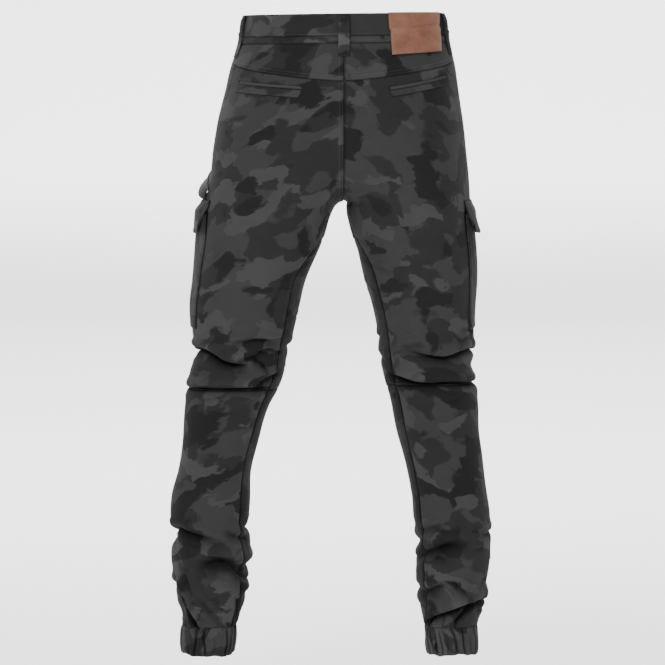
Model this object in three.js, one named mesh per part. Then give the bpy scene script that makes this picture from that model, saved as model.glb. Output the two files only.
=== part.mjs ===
// Motorcycle jeans: slim cargo trousers with elastic cuffs, filled out as when worn, with no wearer inside.
// Millimetres, +Z up. The origin is the middle of the waistband's ring. The wearer's front faces -Y and their left
// is +X.
//
// Each leg is one tube of level sections that swells at the hips and is cut off at the centre plane. What is left
// of the two tubes meets in the seat seam and the fly seam. Every panel is a wall between seams drawn on that
// surface, and what is sewn onto a panel uses the same surface, moved out.
import * as THREE from "three";

// ---- driving dimensions ----
const CLOTH = 2; // wall thickness of the main panels
const THIN_CLOTH = 1.6; // wall thickness of what is sewn on
const SEAM_GAP = 0.3;
const LAY_GAP = 0.6; // under what is sewn onto a panel
const BAND_TOP = 20;
const BAND_BOTTOM = -15;
const STRIP_BOTTOM = -26; // narrow strip under the waistband
const YOKE_AT_SEAT = -86; // the yoke seam, where it meets the seat seam
const YOKE_RISE = 27; // how much higher the yoke seam is at the side seam
const KNEE_SEAM = { left: -580, right: -572 }; // height of the seam round the knee
const CUFF_TOP = -960;
const HEM = -1006;
const FRONT_DIP = 24; // how much lower the waist is in front
const HIP_TILT = 0.012; // the wearer's right hip is a little higher
const DIP_REACH = 106; // half the waist's depth
const SQUARENESS = 2.2; // 2 would make each section an ellipse
const JOIN = 14; // rounding where the two leg tubes run into each other, and over the crotch
const LEAN_FROM = -270; // the sections are level up to here, and lean as the waist does from LEAN_TO up
const LEAN_TO = -90;
const OUTSEAM = rad(15); // angles go from the outer side (0) over the back (90) to the inner side (180)
const INSEAM = rad(150);

function rad(degrees) {
  return (degrees * Math.PI) / 180;
}

// A table: the first line names the columns, and each further line is a row.
function table(text) {
  const [head, ...lines] = text.trim().split("\n");
  const names = head.trim().split(/\s+/);
  return lines.map((line) => {
    const cells = line.trim().split(/\s+/);
    return Object.fromEntries(names.map((name, i) => [name, isNaN(cells[i]) ? cells[i] : Number(cells[i])]));
  });
}

// ---- the sections ----
// z is the level. Inner, Mid and Outer are distances from the centre plane: of the section's inner side,
// its middle and its outer side. Where Inner is under JOIN, the two tubes run into each other. y is the
// middle's place from front to back, and back and front are the depths behind and before it. Below the
// hips the middle lies halfway.
const hipSections = table(`
  z     leftInner  leftMid  leftOuter  rightInner  rightMid  rightOuter  y     back  front
  20    -160       0        160        -160        0         160         0     106   106
  -20   -160       3        166        -160        3         166         0     111   108
  -57   -140       18       180        -140        18        177         0     119   110
  -102  -112       40       191        -112        40        184         0     128   111
  -150  -84        64       203        -84         64        191         0     134   110
  -196  -53        83       210        -53         82        196         0     135   107
  -233  -24        97       214        -24         94        200         0     131   105
  -262  -1         110      223        -1          103       202         0     124   102.5
  -278  14         118      226        14          107       203         -0.3  119   101
  -286  20         121      227        14.5        109       203         -0.6  117   100
  -302  26         125      228.5      15          110       202         -1    112   98.5`);

const legSections = {
  left: table(`
  z      inner  outer  y    back  front
  -326   32     230    -2   105   96
  -358   43     233.5   -4   97    92
  -406   63     239.5   -8   87    86
  -444   72     244.5   -12  81    82
  -486   81     245    -15  74    77
  -519   90     241    -17  69    73
  -558   97     249    -16  68    70
  -582   107    254    -13  67    67
  -610   122    257    -8   66    64
  -663   138    260    1    65    60
  -710   149    265    8    63    58
  -753   152    277    12   61    57
  -799   154    279    14   59    56
  -846   151    277    15   58    55
  -886   153    273    15   55    52
  -918   160    265    15   50    48
  -945   169    261    14   45    44
  -960   173    262    14   44    43
  -1006  177    263    14   42    42`),
  right: table(`
  z      inner  outer  y    back  front
  -326   18     205    -2   101   95
  -358   26     208    -4   94    91
  -406   36     210    -8   86    86
  -444   47     210    -12  80    81
  -486   56     210    -15  73    76
  -522   60     208    -17  69    72
  -559   66     210    -16  68    70
  -585   73     214    -13  67    67
  -610   79     217    -8   66    64
  -655   89     219    1    65    60
  -710   102    226    8    63    58
  -752   109    232    12   61    57
  -777   111    236    13   60    56
  -810   117    238    14   59    56
  -846   118    236    15   58    55
  -875   118    232    15   56    53
  -910   121    229    15   51    49
  -937   126    222    14   45    44
  -960   130    216    14   43    42
  -1006  136    216    14   41    41`),
};

// ---- the folds ----
// Each fold is a trough in the cloth with a rounded ridge above it: its middle is at angle (degrees) and z, it
// reaches span degrees to each side, rises by slope mm a degree, and is depth mm deep and width mm high to each side.
// The ridge's own size is in shares of the trough's.
const RIDGE = { height: 0.55, above: 1.7, width: 1.3 };
const folds = {
  left: table(`
  angle  z     span  slope  depth  width
  35     -529  85    -0.22  9      9
  85     -577  95    0.00   7      8
  118    -498  45    0.05   3      8
  145    -545  38    0.35   4      7
  255    -540  70    0.05   5      11
  265    -585  60    -0.10  4      10
  5      -809  60    0.00   13     10
  85     -824  125   -0.27  9      12
  0      -891  48    0.00   8      10
  185    -803  60    0.10   6      9
  100    -866  60    -0.35  5      14
  28     -922  50    -0.95  8      13
  170    -912  50    0.30   4      10
  270    -815  75    0.12   6      11
  285    -872  70    -0.15  6      11
  250    -926  60    0.15   5      9`),
  right: table(`
  angle  z     span  slope  depth  width
  45     -526  90    0.02   7      7
  12     -549  42    0.05   4      6
  85     -569  105   0.10   8      8
  115    -515  42    -0.05  4      8
  182    -494  40    0.45   4      6
  260    -545  70    -0.05  5      11
  270    -590  60    0.10   4      10
  150    -821  72    -0.08  8      9
  25     -808  42    0.05   5      7
  118    -849  38    0.10   3      7
  140    -893  62    -0.15  6      8
  62     -931  100   -0.15  10     9
  5      -952  42    0.00   5      6
  275    -820  75    -0.10  6      11
  265    -874  70    0.15   6      11
  290    -925  60    -0.10  5      9`),
};

// The value of one column at level z: a smooth curve through the rows, which run downwards.
function along(rows, key, z) {
  const slopeAt = (i) => {
    const a = rows[Math.max(i - 1, 0)];
    const b = rows[Math.min(i + 1, rows.length - 1)];
    return (b[key] - a[key]) / (b.z - a.z);
  };
  let i = 0;
  while (i < rows.length - 2 && z < rows[i + 1].z) i++;
  const [a, b] = [rows[i], rows[i + 1]];
  const step = b.z - a.z;
  const t = Math.min(Math.max((z - a.z) / step, 0), 1);
  const [t2, t3] = [t * t, t * t * t];
  return (
    (2 * t3 - 3 * t2 + 1) * a[key] +
    (t3 - 2 * t2 + t) * step * slopeAt(i) +
    (3 * t2 - 2 * t3) * b[key] +
    (t3 - t2) * step * slopeAt(i + 1)
  );
}

function makeLeg(name, side) {
  const own = (row, place) => row[name + place];
  const hips = hipSections.map((row) => ({
    ...row,
    inner: own(row, "Inner"),
    mid: own(row, "Mid"),
    outer: own(row, "Outer"),
  }));
  const below = legSections[name].map((row) => ({ ...row, mid: (row.inner + row.outer) / 2 }));
  return { name, side, sections: [...hips, ...below], folds: folds[name] };
}
const left = makeLeg("left", 1);
const right = makeLeg("right", -1);

function smooth(from, to, value) {
  const t = Math.min(Math.max((value - from) / (to - from), 0), 1);
  return t * t * (3 - 2 * t);
}

function power(value, exponent) {
  return Math.sign(value) * Math.abs(value) ** exponent;
}

// How far the folds push the cloth out (or in, below 0) at an angle and a level.
function foldRelief(leg, angle, z) {
  let relief = 0;
  for (const fold of leg.folds) {
    let away = (angle * 180) / Math.PI - fold.angle;
    away -= 360 * Math.round(away / 360);
    const reach = 1 - (away / fold.span) ** 2;
    if (reach <= 0) continue;
    const level = (z - fold.z - fold.slope * away) / fold.width;
    const ridge = RIDGE.height * Math.exp(-(((level - RIDGE.above) / RIDGE.width) ** 2));
    relief += fold.depth * reach * reach * (ridge - Math.exp(-level * level));
  }
  return relief;
}

// The point of the cloth's outer face.
function facePoint(leg, angle, z) {
  const at = (key) => along(leg.sections, key, z);
  const [c, s] = [Math.cos(angle), Math.sin(angle)];
  const mid = at("mid");
  const width = c > 0 ? at("outer") - mid : mid - at("inner");
  const depth = at(s > 0 ? "back" : "front");
  const relief = foldRelief(leg, angle, z);
  const fromPlane = mid + width * power(c, 2 / SQUARENESS) + relief * c;
  const x = power(fromPlane ** 2 - JOIN ** 2, 0.5);
  const y = at("y") + depth * power(s, 2 / SQUARENESS) + relief * s;
  const raised = smooth(LEAN_FROM, LEAN_TO, z);
  const dip = FRONT_DIP * Math.min(y / DIP_REACH, 0) ** 2;
  return new THREE.Vector3(leg.side * x, y, z - raised * (dip + HIP_TILT * leg.side * x));
}

function faceNormal(leg, angle, z) {
  const [da, dz] = [0.02, 1];
  const around = facePoint(leg, angle + da, z).sub(facePoint(leg, angle - da, z));
  const up = facePoint(leg, angle, z + dz).sub(facePoint(leg, angle, z - dz));
  return around.cross(up).multiplyScalar(leg.side).normalize();
}

// A point on the surface moved out along its normal.
function offPoint(leg, angle, z, out) {
  return facePoint(leg, angle, z).addScaledVector(faceNormal(leg, angle, z), out);
}

// Millimetres of cloth for each radian round the leg.
function arcScale(leg, angle, z) {
  const da = 0.01;
  return facePoint(leg, angle + da, z).distanceTo(facePoint(leg, angle - da, z)) / (2 * da);
}

// The angle at a distance from the centre plane, or null where the leg doesn't reach so far in.
function angleFromPlane(leg, distance, z, panel) {
  const at = (key) => along(leg.sections, key, z);
  const fromMid = Math.hypot(JOIN, distance) - at("mid");
  const cut = fromMid / (fromMid > 0 ? at("outer") - at("mid") : at("mid") - at("inner"));
  if (cut < -1) return null;
  const angle = Math.acos(power(cut, SQUARENESS / 2));
  return panel === "back" ? angle : 2 * Math.PI - angle;
}

// The angle of the seam on a panel's inner edge: the seat or fly seam above the crotch, and the inseam below it.
function innerSeam(leg, z, panel) {
  const atPlane = angleFromPlane(leg, SEAM_GAP / 2, z, panel);
  if (atPlane !== null) return atPlane;
  const angle = Math.PI + (INSEAM - Math.PI) * smooth(-285, -400, z);
  const half = SEAM_GAP / 2 / arcScale(leg, angle, z);
  return panel === "back" ? angle - half : angle + half;
}

function outerSeam(leg, z, panel) {
  const half = SEAM_GAP / 2 / arcScale(leg, OUTSEAM, z);
  return panel === "back" ? OUTSEAM + half : OUTSEAM + 2 * Math.PI - half;
}

// ---- walls ----
// A closed wall from two grids of points, its outer and its inner face. point(i, j, out) gives either.
function wall(columns, rows, point, round = false) {
  const positions = [];
  const faces = [];
  const across = round ? columns : columns + 1;
  for (const out of [true, false])
    for (let j = 0; j <= rows; j++) {
      for (let i = 0; i < across; i++) positions.push(...point(i, j, out));
    }
  const outer = (i, j) => j * across + (i % across);
  const inner = (i, j) => across * (rows + 1) + outer(i, j);
  const quad = (a, b, c, d) => faces.push(a, b, c, a, c, d);
  for (let j = 0; j < rows; j++)
    for (let i = 0; i < columns; i++) {
      quad(outer(i, j), outer(i + 1, j), outer(i + 1, j + 1), outer(i, j + 1));
      quad(inner(i, j), inner(i, j + 1), inner(i + 1, j + 1), inner(i + 1, j));
    }
  for (let i = 0; i < columns; i++) {
    quad(inner(i, 0), inner(i + 1, 0), outer(i + 1, 0), outer(i, 0));
    quad(outer(i, rows), outer(i + 1, rows), inner(i + 1, rows), inner(i, rows));
  }
  for (let j = 0; j < rows && !round; j++) {
    quad(outer(0, j), outer(0, j + 1), inner(0, j + 1), inner(0, j));
    quad(inner(columns, j), inner(columns, j + 1), outer(columns, j + 1), outer(columns, j));
  }
  const geometry = new THREE.BufferGeometry();
  geometry.setAttribute("position", new THREE.Float32BufferAttribute(positions, 3));
  geometry.setIndex(faces);
  return facedOut(geometry);
}

// Six times the volume that the faces close in, below 0 when they face inwards.
function signedVolume(geometry) {
  const p = geometry.getAttribute("position");
  const index = geometry.index.array;
  const [a, b, c] = [new THREE.Vector3(), new THREE.Vector3(), new THREE.Vector3()];
  let sum = 0;
  for (let k = 0; k < index.length; k += 3) {
    a.fromBufferAttribute(p, index[k]);
    b.fromBufferAttribute(p, index[k + 1]);
    c.fromBufferAttribute(p, index[k + 2]);
    sum += a.dot(b.cross(c));
  }
  return sum;
}

function facedOut(geometry) {
  if (signedVolume(geometry) < 0) geometry.index.array.reverse();
  return geometry;
}

// ---- materials ----
function finish(color, roughness, metalness = 0) {
  return new THREE.MeshStandardMaterial({ color, roughness, metalness });
}
const materials = {
  cloth: finish(0x3a3a3b, 0.9),
  leather: finish(0x96614b, 0.6),
  metal: finish(0x5c5c60, 0.35, 1),
};

const jeans = new THREE.Group();
function add(name, geometry, material = materials.cloth, parent = jeans) {
  const mesh = new THREE.Mesh(geometry, material);
  mesh.name = name;
  parent.add(mesh);
  return mesh;
}

// ---- levels of the leg's rows: close together where the folds are ----
const bands = table(`
  from   to     rows
  -26    -102   3
  -102   -230   4
  -230   -270   3
  -270   -290   3
  -290   -330   3
  -330   -480   4
  -480   -610   11
  -610   -780   4
  -780   -960   13`);

const ROW_LEAST = 4; // no row is lower than this

function levelsBetween(top, bottom) {
  const levels = [];
  for (const { from, to, rows } of bands)
    for (let k = 0; k < rows; k++) levels.push(from + ((to - from) * k) / rows);
  return [top, ...levels.filter((z) => z < top - ROW_LEAST && z > bottom + ROW_LEAST), bottom];
}

// A leg panel: across from the outer seam to the inner seam, and down through the levels. topEdge(u) slants its
// top, and the levels above STRAIGHT_BELOW slant with it.
const STRAIGHT_BELOW = -200;

function legPanel(leg, panel, columns, levels, topEdge = () => levels[0]) {
  return wall(columns, levels.length - 1, (i, j, out) => {
    const u = i / columns;
    const top = topEdge(u);
    const fall = (levels[j] - levels[0]) / (STRAIGHT_BELOW - levels[0]);
    const z = levels[j] > STRAIGHT_BELOW ? top + (STRAIGHT_BELOW - top) * fall : levels[j];
    const angle = outerSeam(leg, z, panel) * (1 - u) + innerSeam(leg, z, panel) * u;
    return offPoint(leg, angle, z, out ? 0 : -CLOTH);
  });
}

const yokeSeam = (u) => YOKE_AT_SEAT + YOKE_RISE * (1 - u);

function yoke(leg, columns, rows) {
  const top = STRIP_BOTTOM - SEAM_GAP;
  return wall(columns, rows, (i, j, out) => {
    const u = i / columns;
    const z = top + ((yokeSeam(u) + SEAM_GAP / 2 - top) * j) / rows;
    const angle = outerSeam(leg, z, "back") * (1 - u) + innerSeam(leg, z, "back") * u;
    return offPoint(leg, angle, z, out ? 0 : -CLOTH);
  });
}

// ---- rings round the waist ----
// Share 0 is the centre front, 0.5 the centre back; the first half goes round the wearer's left.
function waistPlace(share, z) {
  const leg = share < 0.5 ? left : right;
  const half = share < 0.5 ? share * 2 : 2 - share * 2;
  const front = innerSeam(leg, z, "front") - 2 * Math.PI;
  const back = innerSeam(leg, z, "back");
  return { leg, angle: front + (back - front) * half };
}

// The waistband is an open strip: its left end lies over its right end at the centre front.
const BAND = { first: -0.022, last: 0.995, overUpTo: 0.002, downFrom: 0.03 }; // shares of the ring

function waistband(columns, rows) {
  const { first, last, overUpTo, downFrom } = BAND;
  return wall(columns, rows, (i, j, out) => {
    const share = first + ((last - first) * i) / columns;
    const z = BAND_TOP + ((BAND_BOTTOM - BAND_TOP) * j) / rows;
    const { leg, angle } = waistPlace(share < 0 ? share + 1 : share, z);
    const over = (CLOTH + SEAM_GAP) * (1 - smooth(overUpTo, downFrom, share));
    return offPoint(leg, angle, z, over + (out ? 0 : -CLOTH));
  });
}

const STRIP_SWELL = 0.9; // how far the strip's middle stands proud

function waistStrip(columns, rows) {
  const top = BAND_BOTTOM - SEAM_GAP;
  return wall(columns, rows, (i, j, out) => {
    const share = i / columns;
    const z = top + ((STRIP_BOTTOM - top) * j) / rows;
    const { leg, angle } = waistPlace(share, z);
    const swell = STRIP_SWELL * Math.sin((Math.PI * j) / rows);
    return offPoint(leg, angle, z, out ? swell : -CLOTH);
  });
}

// ---- cuffs ----
// The elastic gathers the cuff in waves of uneven width, deepest halfway down. The waves' own numbers are in mm.
const GATHER = { least: 1.1, halfway: 1.2, uneven: 0.4 };
const GATHER_SHIFT = { twice: 1.1, thrice: 0.7, down: 0.5, start: 0.8 }; // radians of a wave

function cuff(leg, waves, columns, rows) {
  const top = CUFF_TOP - SEAM_GAP;
  const start = leg.side * GATHER_SHIFT.start;
  const { twice, thrice, down } = GATHER_SHIFT;
  return wall(
    columns,
    rows,
    (i, j, out) => {
      const angle = (2 * Math.PI * i) / columns;
      const shift = twice * Math.sin(2 * angle + start) + thrice * Math.sin(3 * angle - start);
      const fall = j / rows;
      const middle = GATHER.halfway * Math.sin(Math.PI * fall);
      const height = GATHER.least + middle + GATHER.uneven * Math.sin(5 * angle + start);
      const z = top + (HEM - top) * fall;
      return offPoint(leg, angle, z, height * Math.cos(waves * angle + shift + down * fall) + (out ? 0 : -CLOTH));
    },
    true,
  );
}

// ---- what is sewn onto a panel ----
// A patch between two angles (degrees) and between the levels that top(u) and bottom(u) give.
// lift(u, v) is the gap under it.
function patch(leg, { from, to, top, bottom, columns, rows, thick = THIN_CLOTH, lift = () => 0 }) {
  return wall(columns, rows, (i, j, out) => {
    const [u, v] = [i / columns, j / rows];
    const z = top(u) * (1 - v) + bottom(u) * v;
    const angle = rad(from + (to - from) * u);
    return offPoint(leg, angle, z, LAY_GAP + lift(u, v) + (out ? thick : 0));
  });
}

// Cargo pocket: sewn down at its sides and foot, standing off at its mouth, and its flap over the mouth.
const POCKET = { from: -58, to: 40, mouth: -296, foot: -482, flapTop: -280, flapFoot: -327, flapSag: 5 };
const FLAP_OVER = 2; // degrees that the flap is wider than the pocket to each side
const FLAP_TURN = 0.15; // share of the flap's height in which it comes to stand off
const pocketForm = {
  left: { swell: 7.5, flare: 1 },
  right: { swell: 6, flare: 4 },
};

// How far the pocket stands off: most at its mouth, and nothing at its sides and foot.
function swellAt(leg, u, v) {
  const across = Math.sin(Math.PI * u) ** 0.7;
  const down = (1 - 0.75 * v) * (1 - v ** 6);
  return pocketForm[leg.name].swell * across * down;
}

function cargoPocket(leg) {
  const { from, to, mouth, foot } = POCKET;
  const lift = (u, v) => swellAt(leg, u, v);
  return patch(leg, { from, to, top: () => mouth, bottom: () => foot, columns: 14, rows: 8, thick: CLOTH, lift });
}

function cargoFlap(leg) {
  const { flapTop, flapFoot, flapSag } = POCKET;
  const [from, to] = [POCKET.from - FLAP_OVER, POCKET.to + FLAP_OVER];
  const lift = (u, v) => {
    const clear = (swellAt(leg, u, 0) + CLOTH + SEAM_GAP) * smooth(0, FLAP_TURN, v);
    return clear + pocketForm[leg.name].flare * v * v * (0.55 + 0.45 * Math.sin(Math.PI * u));
  };
  const bottom = (u) => flapFoot - flapSag * Math.sin(Math.PI * u);
  return patch(leg, { from, to, top: () => flapTop, bottom, columns: 14, rows: 5, thick: CLOTH, lift });
}

// Zip pocket on the left thigh: one puffed welt over its zip, slanting down towards the back.
const ZIP_WELT = { from: -48, to: 20, atFront: -216, atBack: -253, height: 24, puff: 9 };

function zipWelt(leg) {
  const { from, to, atFront, atBack, height, puff } = ZIP_WELT;
  const top = (u) => atFront + (atBack - atFront) * u;
  const lift = (u, v) => puff * Math.sin(Math.PI * v) * Math.sin(Math.PI * u) ** 0.5;
  return patch(leg, { from, to, top, bottom: (u) => top(u) - height, columns: 10, rows: 4, lift });
}

// Back pocket: one folded welt, lower towards the seat.
const welts = {
  left: { from: 28, to: 79, atSide: -87, atSeat: -97, height: 15 },
  right: { from: 30, to: 77, atSide: -81, atSeat: -100, height: 12 },
};

function backWelt(leg) {
  const { from, to, atSide, atSeat, height } = welts[leg.name];
  const top = (u) => atSide + (atSeat - atSide) * u;
  return patch(leg, { from, to, top, bottom: (u) => top(u) - height, columns: 10, rows: 2 });
}

// ---- belt loops ----
// Down the loop: the level, and how far it stands off.
const loopPath = table(`
  z    off
  20   0.2
  16   4.2
  9    6.8
  -8   7
  -22  6.6
  -34  3.6
  -44  1.4
  -47  1.3`);
const LOOP_HALF = 9;
const LOOP_ANGLE = { side: 2, front: -62 };

function beltLoop(place) {
  return wall(2, loopPath.length - 1, (i, j, out) => {
    const { z, off } = loopPath[j];
    const { leg, angle } = place(LOOP_HALF * (i - 1), z);
    return offPoint(leg, angle, z, SEAM_GAP + off + (out ? THIN_CLOTH : 0));
  });
}

// Places a distance across the centre back, and a distance round a leg from an angle.
function acrossSeat(distance, z) {
  const leg = distance < 0 ? right : left;
  return { leg, angle: angleFromPlane(leg, Math.abs(distance), z, "back") };
}

function roundFrom(leg, degrees) {
  const angle = rad(degrees);
  return (distance) => ({ leg, angle: angle + distance / arcScale(leg, angle, 0) });
}

// ---- leather patch: sewn to the waistband, its foot hanging over the yoke ----
// Its seat edge and its side edge: distances from the centre plane at the top and at the foot.
const LEATHER = { top: 21, atSide: -42, atSeat: -47, thick: 1.8 };
const leatherEdges = { seat: { top: 69, foot: 73 }, side: { top: 150, foot: 151 } };

function leatherPatch(leg) {
  const { top, atSide, atSeat, thick } = LEATHER;
  const { seat, side } = leatherEdges;
  return wall(8, 8, (i, j, out) => {
    const [u, v] = [i / 8, j / 8];
    const z = top * (1 - v) + (atSeat + (atSide - atSeat) * u) * v;
    const [fromSeat, toSide] = [seat, side].map((edge) => edge.top + (edge.foot - edge.top) * v);
    const angle = angleFromPlane(leg, fromSeat + (toSide - fromSeat) * u, z, "back");
    const lift = 0.9 + 1.6 * smooth(0.45, 1, v);
    return offPoint(leg, angle, z, LAY_GAP + lift + (out ? thick : 0));
  });
}

// ---- fly and button ----
const FLY = { width: 38, foot: -192, corner: 34 };

function fly(leg, columns, rows) {
  const top = STRIP_BOTTOM - SEAM_GAP;
  return wall(columns, rows, (i, j, out) => {
    const z = top + ((FLY.foot - top) * j) / rows;
    const rise = Math.max(FLY.corner - (z - FLY.foot), 0) / FLY.corner;
    const width = FLY.width * Math.sqrt(Math.max(1 - rise * rise, 0.02));
    const angle = angleFromPlane(leg, SEAM_GAP / 2 + (width * i) / columns, z, "front");
    return offPoint(leg, angle, z, LAY_GAP + (out ? THIN_CLOTH : 0));
  });
}

const BUTTON = { share: 0.012, level: 3, sides: 20 };

// The button's profile: a low shank, the rounded rim, and a crowned middle.
const buttonProfile = table(`
  radius  height
  0       0
  6.2     0
  6.2     1.2
  8.5     1.6
  8.5     2.8
  7.4     3.5
  6.2     3.1
  0       3.6`);

function shankButton() {
  const profile = buttonProfile.map(({ radius, height }) => new THREE.Vector2(radius, height));
  return new THREE.LatheGeometry(profile, BUTTON.sides);
}

// Turns and places a group so that its z axis is the surface's normal and its x axis runs forwards round the leg.
function setOnSurface(group, leg, angle, z, out) {
  const normal = faceNormal(leg, angle, z);
  const up = facePoint(leg, angle, z + 1).sub(facePoint(leg, angle, z - 1));
  const ahead = up.clone().cross(normal).multiplyScalar(leg.side).normalize();
  const across = normal.clone().cross(ahead);
  group.quaternion.setFromRotationMatrix(new THREE.Matrix4().makeBasis(ahead, across, normal));
  group.position.copy(offPoint(leg, angle, z, out));
  jeans.add(group);
}

// ---- build ----
for (const leg of [left, right]) {
  const knee = KNEE_SEAM[leg.name];
  const backLevels = levelsBetween(YOKE_AT_SEAT + YOKE_RISE / 2, knee + SEAM_GAP / 2);
  const frontLevels = levelsBetween(STRIP_BOTTOM - SEAM_GAP, knee + SEAM_GAP / 2);
  const calfLevels = levelsBetween(knee - SEAM_GAP / 2, CUFF_TOP);
  add(`yoke_${leg.name}`, yoke(leg, 12, 2));
  add(`back_thigh_${leg.name}`, legPanel(leg, "back", 12, backLevels, (u) => yokeSeam(u) - SEAM_GAP / 2));
  add(`back_calf_${leg.name}`, legPanel(leg, "back", 12, calfLevels));
  add(`front_thigh_${leg.name}`, legPanel(leg, "front", 12, frontLevels));
  add(`front_calf_${leg.name}`, legPanel(leg, "front", 12, calfLevels));
  add(`cuff_${leg.name}`, cuff(leg, leg === left ? 15 : 17, 84, 2));
  add(`cargo_pocket_${leg.name}`, cargoPocket(leg));
  add(`cargo_flap_${leg.name}`, cargoFlap(leg));
  add(`back_welt_${leg.name}`, backWelt(leg));
}
add("zip_welt_left", zipWelt(left));
add("waistband", waistband(64, 1));
add("waistband_strip", waistStrip(64, 2));
add("leather_patch", leatherPatch(right), materials.leather);
add("fly", fly(left, 4, 10));

add("belt_loop_back", beltLoop(acrossSeat));
for (const leg of [left, right]) {
  add(`belt_loop_side_${leg.name}`, beltLoop(roundFrom(leg, LOOP_ANGLE.side)));
  add(`belt_loop_front_${leg.name}`, beltLoop(roundFrom(leg, LOOP_ANGLE.front)));
}

const buttonSeat = new THREE.Group();
const buttonPlace = waistPlace(BUTTON.share, BUTTON.level);
setOnSurface(buttonSeat, buttonPlace.leg, buttonPlace.angle, BUTTON.level, CLOTH + 2 * SEAM_GAP);
add("button", shankButton().rotateX(Math.PI / 2), materials.metal, buttonSeat);

export default jeans;
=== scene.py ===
# Motorcycle jeans in camouflage twill, filled out with no wearer, seen from behind.
# +Z is up, the wearer's front faces -Y and their left is +X. The origin is the middle of the waistband's ring.
# Sizes are typed in millimetres and angles in degrees round the leg: 0 at its outer side, 90 at its back,
# 180 at its inner side and 270 in front. mm turns them into metres.
import bpy
import math
import numpy as np
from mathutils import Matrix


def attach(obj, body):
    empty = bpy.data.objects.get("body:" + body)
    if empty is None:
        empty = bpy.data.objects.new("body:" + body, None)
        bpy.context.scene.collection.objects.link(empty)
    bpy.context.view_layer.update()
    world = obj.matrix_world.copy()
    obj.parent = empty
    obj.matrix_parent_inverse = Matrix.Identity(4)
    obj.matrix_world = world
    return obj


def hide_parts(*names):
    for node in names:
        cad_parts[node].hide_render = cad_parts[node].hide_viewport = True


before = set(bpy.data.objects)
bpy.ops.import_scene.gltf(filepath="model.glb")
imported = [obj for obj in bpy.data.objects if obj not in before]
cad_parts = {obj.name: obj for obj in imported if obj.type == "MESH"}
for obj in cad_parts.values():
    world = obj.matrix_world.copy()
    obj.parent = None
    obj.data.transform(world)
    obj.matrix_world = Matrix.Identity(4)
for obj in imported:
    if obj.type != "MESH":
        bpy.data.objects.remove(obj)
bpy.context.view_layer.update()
mm = 0.001


# Nodes of materials
def setInputs(tree, node, inputs):
    for key, value in inputs.items():
        if isinstance(value, bpy.types.NodeSocket):
            tree.links.new(value, node.inputs[key])
        else:
            node.inputs[key].default_value = value


def addNode(tree, kind, inputs={}, **settings):
    node = tree.nodes.new(kind)
    for key, value in settings.items():
        setattr(node, key, value)
    setInputs(tree, node, inputs)
    return node


def startMaterial(name, inputs):
    material = bpy.data.materials.new(name)
    material.use_nodes = True
    tree = material.node_tree
    shader = tree.nodes["Principled BSDF"]
    setInputs(tree, shader, inputs)
    return material, tree, shader


def plainMaterial(name, colour, roughness, metallic=0.0):
    return startMaterial(name, {"Base Color": colour, "Roughness": roughness, "Metallic": metallic})[0]


# Camera behind the jeans, a long lens from far off, looking a little down
camera = {"right": 18.1, "back": 6200, "up": -56.4, "tilt": 4.0, "lens": 209.4, "clipEnd": 60}


def addCamera():
    data = bpy.data.cameras.new("camera")
    data.lens = camera["lens"]
    data.clip_end = camera["clipEnd"]
    body = bpy.data.objects.new("camera", data)
    body.location = (camera["right"] * mm, camera["back"] * mm, camera["up"] * mm)
    body.rotation_euler = (math.radians(90 - camera["tilt"]), 0, math.pi)
    bpy.context.scene.collection.objects.link(body)
    bpy.context.scene.camera = body


studio = {
    "floorLevel": -1100, "floorSize": 900, "floorColour": (0.9, 0.9, 0.9, 1), "roughness": 0.9,
    "world": (1, 1, 1, 1), "worldStrength": 0.26,
    # a sweep far behind the jeans, in metres: where it leaves the floor and how far under it, its radius, its
    # height and its width, and the levels between which it begins to glow
    "sweep": {"from": -9, "under": 0.012, "radius": 4, "steps": 25, "height": 14, "width": 60,
              "glow": 1.9, "glowFrom": -1.1, "glowTo": -0.5},
    # name, place in metres, what it is aimed at, size in metres, watts
    "lights": [
        ("key", (1.3, 2.9, 2.7), (0, 0, -0.45), 1.6, 170),
        ("fill", (-2.8, 3.2, 0.9), (0, 0, -0.45), 2.4, 42),
        ("front", (0.8, -3.6, 1.8), (0, 0, -0.45), 2.6, 90),
        ("back_floor", (0, -5, 5.5), (0, -5, -1.1), 7, 1500),
    ],
}


def addStudio():
    bpy.ops.object.select_all(action="DESELECT")
    bpy.ops.mesh.primitive_plane_add(size=studio["floorSize"], location=(0, 0, studio["floorLevel"] * mm))
    floor = bpy.context.object
    floor.name = "floor"
    floor.data.materials.append(plainMaterial("pale_floor", studio["floorColour"], studio["roughness"]))
    addSweep()
    world = bpy.data.worlds.new("studio")
    world.use_nodes = True
    backdrop = world.node_tree.nodes["Background"]
    backdrop.inputs["Color"].default_value = studio["world"]
    backdrop.inputs["Strength"].default_value = studio["worldStrength"]
    bpy.context.scene.world = world
    for name, place, target, size, watts in studio["lights"]:
        data = bpy.data.lights.new(name, "AREA")
        data.size = size
        data.energy = watts
        lamp = bpy.data.objects.new(name, data)
        lamp.location = place
        aim = np.array(target, float) - np.array(place)
        turn = math.acos(aim[2] / np.linalg.norm(aim)) - math.pi
        lamp.rotation_euler = (turn, 0, math.atan2(-aim[0], aim[1]) + math.pi)
        bpy.context.scene.collection.objects.link(lamp)


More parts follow.
